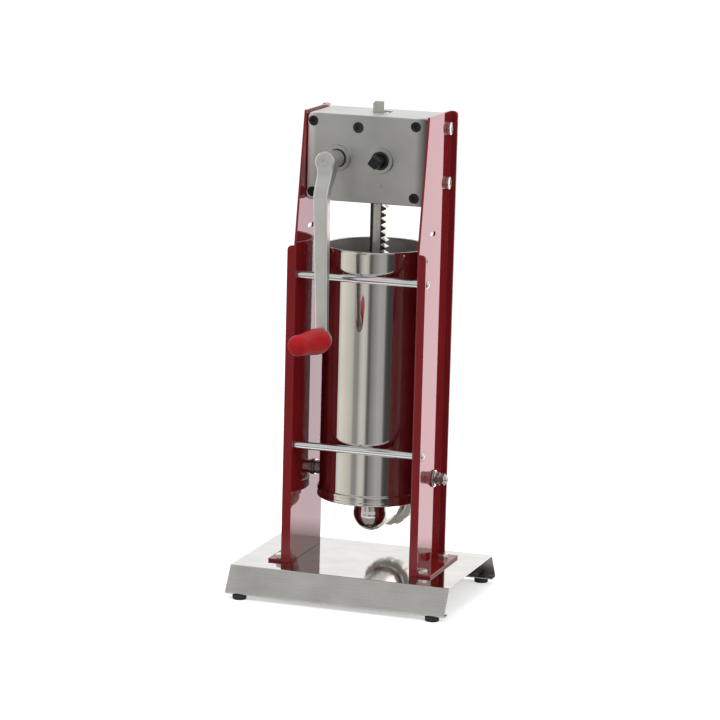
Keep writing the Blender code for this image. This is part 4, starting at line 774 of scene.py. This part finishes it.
def build_gearbox():
    """Housing and cover castings with softened corners, and the cover's screws and plug."""
    shape = cad_shape("gearbox_housing")
    low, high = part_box("gearbox_housing")

    def at_corner(edge):
        a, b = (v.co for v in edge.verts)
        level = abs(a.x - b.x) + abs(a.z - b.z) < NEAR
        side = min(abs(a.x - low.x), abs(a.x - high.x)) < NEAR
        end = min(abs(a.z - low.z), abs(a.z - high.z)) < NEAR
        return level and side and end

    soften(shape, 0.0045, 7, at_corner)
    soften(shape, 0.0007)
    show("gearbox_housing_casting", shape, "gearbox_housing")
    low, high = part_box("gearbox_cover")
    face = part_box("gear_grease_plug")[0].y + 0.0008
    plate = bmesh.new()
    bmesh.ops.create_cube(plate, size=1.0)
    for vert in plate.verts:
        vert.co = [b if c > 0 else a for a, b, c in zip((low.x, face, low.z), high, vert.co)]
    edges = [e for e in plate.edges if abs(e.verts[0].co.y - e.verts[1].co.y) > WELD]
    bmesh.ops.bevel(plate, geom=edges, offset=0.0055, segments=7, profile=0.5, affect="EDGES")
    edges = [e for e in plate.edges if all(v.co.y < face + WELD for v in e.verts)]
    bmesh.ops.bevel(plate, geom=edges, offset=0.0018, segments=5, profile=0.5, affect="EDGES")
    reach = face - low.y
    past = 0.004
    foot, fillet = 0.0178, 0.0012
    swell = [(foot - fillet * math.sin(t), fillet - fillet * math.cos(t)) for t in (0.5, 1.0, 1.57)]
    boss = [(0.0, -past), (foot, -past), (foot, 0.0), *swell, (0.0166, reach - 0.0010),
            (0.0163, reach - 0.0003), (0.0156, reach), (0.0, reach)]
    shaft_hole = capped((0.0121, -0.012), (0.0121, reach + past))
    screw_hole = capped((0.0064, -0.0062), (0.0064, -0.0006), (0.0076, 0.0006), (0.0076, past))
    plug_hole = capped((0.0072, -0.008), (0.0072, past))
    bosses, holes = [], []
    for joint in SPINS:
        x, _, z = JOINTS[joint]["pos_m"]
        bosses.append(laid(turned(boss, FINE), (x, face, z), "-Y"))
        holes.append(laid(turned(shaft_hole, FINE), (x, face, z), "-Y"))
    for name in COVER_SCREWS:
        middle = centre_of("cover_screw_" + name)
        holes.append(laid(turned(screw_hole), (middle.x, face, middle.z), "-Y"))
    plug = centre_of("gear_grease_plug")
    holes.append(laid(turned(plug_hole), (plug.x, face, plug.z), "-Y"))
    pit_radius = 0.0011
    pit = [(0.0, -0.0009), *arc((0.0, 0.0), pit_radius, -50, 0, 4), (pit_radius, 0.002), (0.0, 0.002)]
    fast = JOINTS["fast_spin"]["pos_m"]
    holes.append(laid(turned(pit, 24), (fast[0] + 0.0015, face, fast[2] - 0.0335), "-Y"))
    show("gearbox_cover_casting", carved(plate, bosses, holes), "gearbox_cover", look="cover")
    build_cover_fittings(face)


def build_cover_fittings(face):
    """The cover's screws, the grease plug, the bushings and the bolts from the side frames."""
    screw_sink = 0.0059
    for place in COVER_SCREWS:
        name = "cover_screw_" + place
        low, high, middle = extent(name)
        seat = face + screw_sink
        profile = [(0.0, seat - high.y), (0.0028, seat - high.y), (0.0028, 0.0)]
        profile += key_head((high.x - low.x) / 2, seat - low.y, edge=0.0006, key=0.0029, depth=0.003)
        show(name + "_head", laid(turned(profile), (middle.x, seat, middle.z), "-Y"), name)
    low, high, middle = extent("gear_grease_plug")
    plug = 0.0070
    profile = [(0.0, face - high.y), (plug, face - high.y)]
    profile += key_head(plug, face - low.y, edge=0.0004, key=0.0040, depth=0.003)
    show("gear_grease_plug_head", laid(turned(profile), (middle.x, face, middle.z), "-Y"),
         "gear_grease_plug")
    for joint in SPINS:
        name = joint.split("_")[0] + "_shaft_bushing"
        low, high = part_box(name)
        x, _, z = JOINTS[joint]["pos_m"]
        outer = (high.x - low.x) / 2
        length = high.y - low.y
        profile = [(0.0088, 0.0), (outer, 0.0), *arc((outer - 0.0006, length - 0.0006), 0.0006, 0, 90, 4),
                   (0.0092, length), (0.0088, length - 0.0004)]
        show(name + "_sleeve", laid(turned(profile, FINE, ring=True), (x, high.y, z), "-Y"), name)
    bolt_head = 0.0045
    for word, axis, side in SIDES:
        for level in ("lower", "upper"):
            name = f"gearbox_bolt_{level}_{word}"
            low, high, middle = extent(name)
            seat = abs(low.x if side < 0 else high.x) - bolt_head
            shank = min(abs(low.x), abs(high.x)) - seat
            profile = [(0.0, shank), (THREAD_RADIUS, shank), (THREAD_RADIUS, 0.0)]
            profile += key_head((high.y - low.y) / 2, bolt_head, edge=0.0013, key=0.0029, depth=0.003)
            show(name + "_head", laid(turned(profile), (side * seat, middle.y, middle.z), axis), name)


# Half widths of the crank arm down from its hub's centre, flowing out of the hub and waisted below it
ARM_HALF_WIDTHS = (
    (0.0030, 0.01310), (0.0060, 0.01215), (0.0090, 0.01120), (0.0120, 0.01055), (0.0160, 0.01010),
    (0.0220, 0.00985), (0.0300, 0.00970), (0.0470, 0.00950), (0.2110, 0.00780), (0.2130, 0.00800),
    (0.2150, 0.00880), (0.2170, 0.01010), (0.2200, 0.01190), (0.2235, 0.01270), (0.2265, 0.01240),
    (0.2295, 0.01120), (0.2320, 0.00940), (0.2342, 0.00700), (0.2355, 0.00430),
)
ARM_NECK_TOP = 0.006
ARM_NECK_FOOT = 0.047
ARM_STANDOFF = 0.049
ARM_OFFSET = 0.0227
ARM_LEAN = math.tan(math.radians(5))
ARM_REACH = 0.2235
ARM_HUB_DEPTH = 0.0232
ARM_THICK = 0.016
ARM_THIN = 0.011
ARM_EDGE = 0.0026
HUB_RADIUS = 0.0135
CRANK_TURN = math.radians(-3.55)


def arm_sections():
    """(distance down, front, rear, half width, edge) with front and rear from the boss's face."""
    downs = [down for down, _ in ARM_HALF_WIDTHS]
    steps = 20
    downs += [ARM_NECK_TOP + (ARM_NECK_FOOT - ARM_NECK_TOP) * k / steps for k in range(steps + 1)]
    sections = []
    for down in sorted(set(round(down, 5) for down in downs)):
        share = min(1.0, max(0.0, (down - ARM_NECK_TOP) / (ARM_NECK_FOOT - ARM_NECK_TOP)))
        smooth = share * share * (3 - 2 * share)
        along = min(1.0, max(0.0, (down - ARM_NECK_FOOT) / (ARM_REACH - ARM_NECK_FOOT)))
        front = -ARM_STANDOFF - ARM_OFFSET * smooth - max(0.0, down - ARM_NECK_FOOT) * ARM_LEAN
        depth = ARM_HUB_DEPTH + (ARM_THICK - ARM_HUB_DEPTH) * smooth + (ARM_THIN - ARM_THICK) * along
        half = ARM_HALF_WIDTHS[-1][1]
        for (low, start), (high, end) in zip(ARM_HALF_WIDTHS, ARM_HALF_WIDTHS[1:]):
            if low <= down <= high:
                half = start + (end - start) * (down - low) / (high - low)
        sections.append((down, front, front + depth, half, min(ARM_EDGE, half * 0.45)))
    return sections


def build_crank():
    """The cast arm with its hub, set to the crank's own axis."""
    boss_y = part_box("gearbox_cover")[0].y
    x, _, z = JOINTS["slow_spin"]["pos_m"]
    place = Matrix.Translation((x, boss_y, z)) @ Matrix.Rotation(CRANK_TURN, 4, "Y")
    arm = bmesh.new()
    rings = []
    for down, front, rear, half, edge in arm_sections():
        corners = ((-half, front, 1, 1), (half, front, -1, 1), (half, rear, -1, -1), (-half, rear, 1, -1))
        points = []
        for k, (cx, cy, sx, sy) in enumerate(corners):
            start = 180 + 90 * k
            for turn in (0, 18, 45, 72, 90):
                angle = math.radians(start + turn)
                points.append((cx + sx * edge + edge * math.cos(angle),
                               cy + sy * edge + edge * math.sin(angle)))
        rings.append([arm.verts.new((px, py, -down)) for px, py in points])
    arm.faces.new(rings[0])
    arm.faces.new(rings[-1])
    for above, below in zip(rings, rings[1:]):
        for k in range(len(above)):
            after = (k + 1) % len(above)
            arm.faces.new((above[k], above[after], below[after], below[k]))
    front, step = ARM_STANDOFF, 0.0255
    hub = [(0.0, 0.0025), (0.0100, 0.0025), (0.0108, 0.0033), (0.0108, step - 0.0008), (0.0116, step),
           (HUB_RADIUS, step + 0.0012), (HUB_RADIUS, front - ARM_EDGE),
           *arc((HUB_RADIUS - ARM_EDGE, front - ARM_EDGE), ARM_EDGE, 15, 90, 5), (0.0, front)]
    dimple = [(0.0, front - 0.0013), (0.0028, front - 0.0009), (0.0034, front - 0.0003),
              (0.0062, front - 0.0003), (0.0066, front), (0.0066, front + 0.002), (0.0, front + 0.002)]
    socket = capped((0.0094, -0.002), (0.0094, 0.0275))
    cuts = [laid(turned(profile, SMALL), (0.0, 0.0, 0.0), "-Y") for profile in (dimple, socket)]
    shape = carved(arm, [laid(turned(hub, FINE), (0.0, 0.0, 0.0), "-Y")], cuts)
    shape.transform(place)
    show("crank_arm_casting", shape, "crank_arm")


# The grip's outline as (share of its length, share of its radius)
GRIP_OUTLINE = (
    (0.0, 0.80), (0.012, 0.90), (0.04, 0.955), (0.11, 1.0), (0.20, 0.99), (0.30, 0.965), (0.40, 0.925),
    (0.50, 0.88), (0.60, 0.84), (0.69, 0.815), (0.78, 0.80), (0.86, 0.808), (0.92, 0.79), (0.955, 0.73),
    (0.98, 0.58), (0.993, 0.38), (1.0, 0.12),
)


def build_grip():
    """The turned grip and its spindle, laid along the grip's own axis."""
    joint = JOINTS["grip_spin"]
    direction = Vector(joint["axis"])
    place = Matrix.Translation(joint["pos_m"]) @ direction.to_track_quat("Z", "Y").to_matrix().to_4x4()
    length, radius, gap = 0.0907, 0.0167, 0.0012
    bore, bore_end = 0.0046, 0.0785
    profile = [(0.0, bore_end), (bore, bore_end), (bore, gap)]
    profile += [(radius * share, gap + length * along) for along, share in GRIP_OUTLINE]
    profile.append((0.0, gap + length))
    shape = turned(profile, FINE)
    shape.transform(place)
    show("crank_grip_moulding", shape, "crank_grip")
    back = -0.0115
    spindle = capped((0.0062, back - 0.0022), (0.0068, back - 0.0016), (0.0068, back - 0.0004),
                     (0.0064, back), (0.0040, back), (0.0040, 0.076))
    shape = turned(spindle)
    shape.transform(place)
    show("grip_spindle_rivet", shape, "grip_spindle")


def build_moving_metal():
    """Rack, shafts, piston and nuts keep their CAD shapes with softened edges."""
    widths = {"rack": 0.00025, "piston_seal": 0.0002}
    for name in ("rack", "fast_pinion_shaft", "slow_pinion_shaft", "piston_disc", "piston_seal", "piston_nut",
                 "piston_air_valve", "frame_nut_front_left", "frame_nut_front_right", "frame_nut_rear_left",
                 "frame_nut_rear_right"):
        shape = cad_shape(name)
        soften(shape, widths.get(name, BROKEN_EDGE))
        show(name + "_soft", shape, name, look="rack" if name == "rack" else None)


# Studio

def build_camera():
    azimuth, elevation = CAMERA_AZIMUTH, CAMERA_ELEVATION
    look = Vector((-math.sin(azimuth) * math.cos(elevation), math.cos(azimuth) * math.cos(elevation),
                   -math.sin(elevation)))
    level = Vector((math.cos(azimuth), math.sin(azimuth), 0.0))
    above = level.cross(look)
    right = math.cos(CAMERA_ROLL) * level + math.sin(CAMERA_ROLL) * above
    up = -math.sin(CAMERA_ROLL) * level + math.cos(CAMERA_ROLL) * above
    camera = bpy.data.cameras.new("camera")
    camera.sensor_width = SENSOR_WIDTH
    camera.lens = FOCAL_PIXELS / PHOTO_PIXELS * SENSOR_WIDTH
    camera.clip_end = 200.0
    item = bpy.data.objects.new("camera", camera)
    bpy.context.scene.collection.objects.link(item)
    turn = Matrix((right, up, -look)).transposed().to_4x4()
    item.matrix_world = Matrix.Translation(CAMERA_TARGET - look * CAMERA_DISTANCE) @ turn
    bpy.context.scene.camera = item


def build_lamps():
    for name, place, width, height, watts in LAMPS:
        lamp = bpy.data.lights.new(name, "AREA")
        lamp.shape = "RECTANGLE"
        lamp.size = width
        lamp.size_y = height
        lamp.energy = watts
        item = bpy.data.objects.new(name, lamp)
        bpy.context.scene.collection.objects.link(item)
        item.location = place
        item.rotation_euler = (LAMP_AIM - Vector(place)).to_track_quat("-Z", "Y").to_euler()
        item.visible_camera = False
        item.visible_glossy = False


# What glossy surfaces see of the room below the horizon. Directions are counted from +Y towards +X, in
# degrees, and each stop is (degrees, grey, warmth).
ROOM_STOPS = (
    (-180, 0.60, 0.04), (-174, 0.71, 0.04), (-169.5, 0.68, 0.03), (-167.3, 0.60, 0.02), (-162.8, 0.38, 0.02),
    (-160.6, 0.29, 0.02), (-157.2, 0.36, 0.03), (-153.7, 0.31, 0.05), (-151.4, 0.52, 0.05),
    (-146.7, 0.65, 0.05), (-137, 0.74, 0.05), (-121, 0.88, 0.05), (-114, 0.70, 0.0),
    (-108, 1.20, 0.0), (-76, 1.20, 0.0), (-70, 0.80, 0.0), (-40, 1.17, 0.0), (3, 1.17, 0.0),
    (40, 1.05, 0.0), (75, 0.80, 0.0),
    (108, 0.40, 0.0), (112, 0.06, 0.0), (134.2, 0.07, 0.0), (138.6, 0.11, 0.0), (140.8, 0.22, 0.0),
    (143, 0.45, 0.01), (153.7, 0.49, 0.01), (166.6, 0.30, 0.01), (170.9, 0.22, 0.02), (173, 0.12, 0.02),
    (177, 0.19, 0.02), (180, 0.58, 0.04),
)
# A window is seen in the webs: where it starts and ends, in degrees, the colour that it multiplies the
# room by, and the height at which it fades out
WINDOW_START = 5.0
WINDOW_END = 36.0
WINDOW_LIGHT = (1.85, 1.28, 1.40)
WINDOW_TOP = -0.04
WINDOW_FADE = 0.03
# A grey card stands below the horizon behind the object, and leaves this share of the room's light
CARD_START = -70.0
CARD_END = 4.0
CARD_SHARE = 0.25
# Higher up there is a ceiling, dimmer in front of the object than behind it
CEILING_START = 0.33
CEILING_END = 0.45
CEILING_FRONT = 0.54
CEILING_REAR = 1.9
# Between the horizon and the ceiling the walls are plain, and straight overhead it is plain again
WALL_START = -0.06
WALL_END = -0.01
WALL_FRONT = 0.70
WALL_REAR = 1.16
OVERHEAD_FRONT = 0.57
OVERHEAD_REAR = 0.98
OVERHEAD_START = 0.48
OVERHEAD_END = 0.60
# How far to either side of the object the front's light passes into the rear's
WALL_BLEND = 0.6
CEILING_BLEND = 0.5


def build_world():
    """White to the camera, even to diffuse surfaces, and a plain studio with cards to glossy ones."""
    world = bpy.data.worlds.new("studio")
    bpy.context.scene.world = world
    world.use_nodes = True
    tree = world.node_tree
    tree.nodes.clear()
    direction = tree.nodes.new("ShaderNodeTexCoord").outputs["Generated"]
    parts = node(tree, "ShaderNodeSeparateXYZ", Vector=direction)
    turn = math_node(tree, "ARCTAN2", parts.outputs[0], parts.outputs[1])
    share = spread(tree, turn, -math.pi, math.pi, 0.0, 1.0)
    ramp = tree.nodes.new("ShaderNodeValToRGB")
    tree.links.new(share, ramp.inputs[0])
    stops = ramp.color_ramp.elements
    while len(stops) < len(ROOM_STOPS):
        stops.new(0.5)
    for stop, (degrees, _, _) in zip(stops, ROOM_STOPS):
        stop.position = (degrees + 180) / 360
    for stop, (_, grey, warmth) in zip(stops, ROOM_STOPS):
        stop.color = (grey * (1 + warmth), grey, grey * (1 - 2 * warmth), 1.0)
    in_window = math_node(tree, "MULTIPLY", math_node(tree, "GREATER_THAN", turn, math.radians(WINDOW_START)),
                          math_node(tree, "LESS_THAN", turn, math.radians(WINDOW_END)))
    lit = math_node(tree, "MULTIPLY", in_window,
                    spread(tree, parts.outputs[2], WINDOW_TOP, WINDOW_TOP + WINDOW_FADE, 1.0, 0.0))
    pane = vector_math(tree, "MULTIPLY", n0=WINDOW_LIGHT, n1=lit)
    in_card = math_node(tree, "MULTIPLY", math_node(tree, "GREATER_THAN", turn, math.radians(CARD_START)),
                        math_node(tree, "LESS_THAN", turn, math.radians(CARD_END)))
    low = spread(tree, parts.outputs[2], -WINDOW_FADE, 0.0, 1.0 - CARD_SHARE, 0.0)
    kept = math_node(tree, "SUBTRACT", 1.0, math_node(tree, "MULTIPLY", in_card, low))
    carded = vector_math(tree, "MULTIPLY", n0=ramp.outputs[0], n1=kept)
    wall = node(tree, "ShaderNodeVectorMath", n0=carded.outputs[0], n1=pane.outputs[0])
    back = parts.outputs[1]
    plain = spread(tree, back, -WALL_BLEND, WALL_BLEND, WALL_FRONT, WALL_REAR)
    ceiling = spread(tree, back, -CEILING_BLEND, CEILING_BLEND, CEILING_FRONT, CEILING_REAR)
    overhead = spread(tree, back, -CEILING_BLEND, CEILING_BLEND, OVERHEAD_FRONT, OVERHEAD_REAR)
    room = wall.outputs[0]
    for start, end, above in ((WALL_START, WALL_END, plain), (CEILING_START, CEILING_END, ceiling),
                              (OVERHEAD_START, OVERHEAD_END, overhead)):
        room = mix_colour(tree, spread(tree, parts.outputs[2], start, end, 0.0, 1.0), room, above)
    path = tree.nodes.new("ShaderNodeLightPath")
    seen = node(tree, "ShaderNodeBackground", Color=WHITE, Strength=1.0)
    mirrored = node(tree, "ShaderNodeBackground", Color=room, Strength=1.0)
    even = node(tree, "ShaderNodeBackground", Color=WHITE, Strength=WORLD_LEVEL)
    glossy = node(tree, "ShaderNodeMixShader", n0=path.outputs["Is Glossy Ray"], n1=even.outputs[0],
                  n2=mirrored.outputs[0])
    either = math_node(tree, "MAXIMUM", path.outputs["Is Camera Ray"], path.outputs["Is Transmission Ray"])
    final = node(tree, "ShaderNodeMixShader", n0=either, n1=glossy.outputs[0], n2=seen.outputs[0])
    output = tree.nodes.new("ShaderNodeOutputWorld")
    tree.links.new(final.outputs[0], output.inputs[0])


def build_floor():
    """A white floor that keeps the object's shadow and, away from it, lets reflections see the room."""
    shape = bmesh.new()
    bmesh.ops.create_grid(shape, x_segments=1, y_segments=1, size=FLOOR_SIZE / 2)
    floor = bpy.data.objects.new("floor", mesh_of("floor", shape))
    bpy.context.scene.collection.objects.link(floor)
    material = bpy.data.materials.new("floor_look")
    material.use_nodes = True
    tree = material.node_tree
    tree.nodes.clear()
    grain = clouded(tree, noise(tree, 3.0), *FLOOR_GREYS)
    paper = node(tree, "ShaderNodeBsdfDiffuse", Color=mix_colour(tree, grain, BLACK, WHITE))
    glow = node(tree, "ShaderNodeEmission", Color=WHITE, Strength=FLOOR_GLOW)
    lifted = node(tree, "ShaderNodeAddShader", n0=paper.outputs[0], n1=glow.outputs[0])
    path = tree.nodes.new("ShaderNodeLightPath")
    darker = node(tree, "ShaderNodeBsdfDiffuse", Color=(FLOOR_BOUNCE, FLOOR_BOUNCE, FLOOR_BOUNCE, 1.0))
    felt = node(tree, "ShaderNodeMixShader", n0=path.outputs["Is Diffuse Ray"], n1=paper.outputs[0],
                n2=darker.outputs[0])
    seen = node(tree, "ShaderNodeMixShader", n0=path.outputs["Is Camera Ray"], n1=felt.outputs[0],
                n2=lifted.outputs[0])
    clear = node(tree, "ShaderNodeBsdfTransparent")
    reach = vector_math(tree, "LENGTH", n0=place_of(tree))
    away = spread(tree, reach.outputs["Value"], MIRRORED_FLOOR_RADIUS,
                  MIRRORED_FLOOR_RADIUS + MIRRORED_FLOOR_EDGE, 0.0, 1.0)
    skip = math_node(tree, "MULTIPLY", path.outputs["Is Glossy Ray"], away)
    final = node(tree, "ShaderNodeMixShader", n0=skip, n1=seen.outputs[0], n2=clear.outputs[0])
    output = tree.nodes.new("ShaderNodeOutputMaterial")
    tree.links.new(final.outputs[0], output.inputs[0])
    floor.data.materials.append(material)


def dress_cad():
    for name, item in frame["nodes"].items():
        item.data.materials.clear()
        item.data.materials.append(LOOKS[SLOT_OF[name]])


build_camera()
build_lamps()
build_world()
build_floor()
dress_cad()
build_base()
build_feet()
build_side_frames()
build_frame_bolts()
build_tie_rods()
build_cylinder()
build_pivots()
build_outlet()
build_ring_nut()
build_gearbox()
build_crank()
build_grip()
build_moving_metal()

bpy.context.scene.view_settings.view_transform = "Standard"
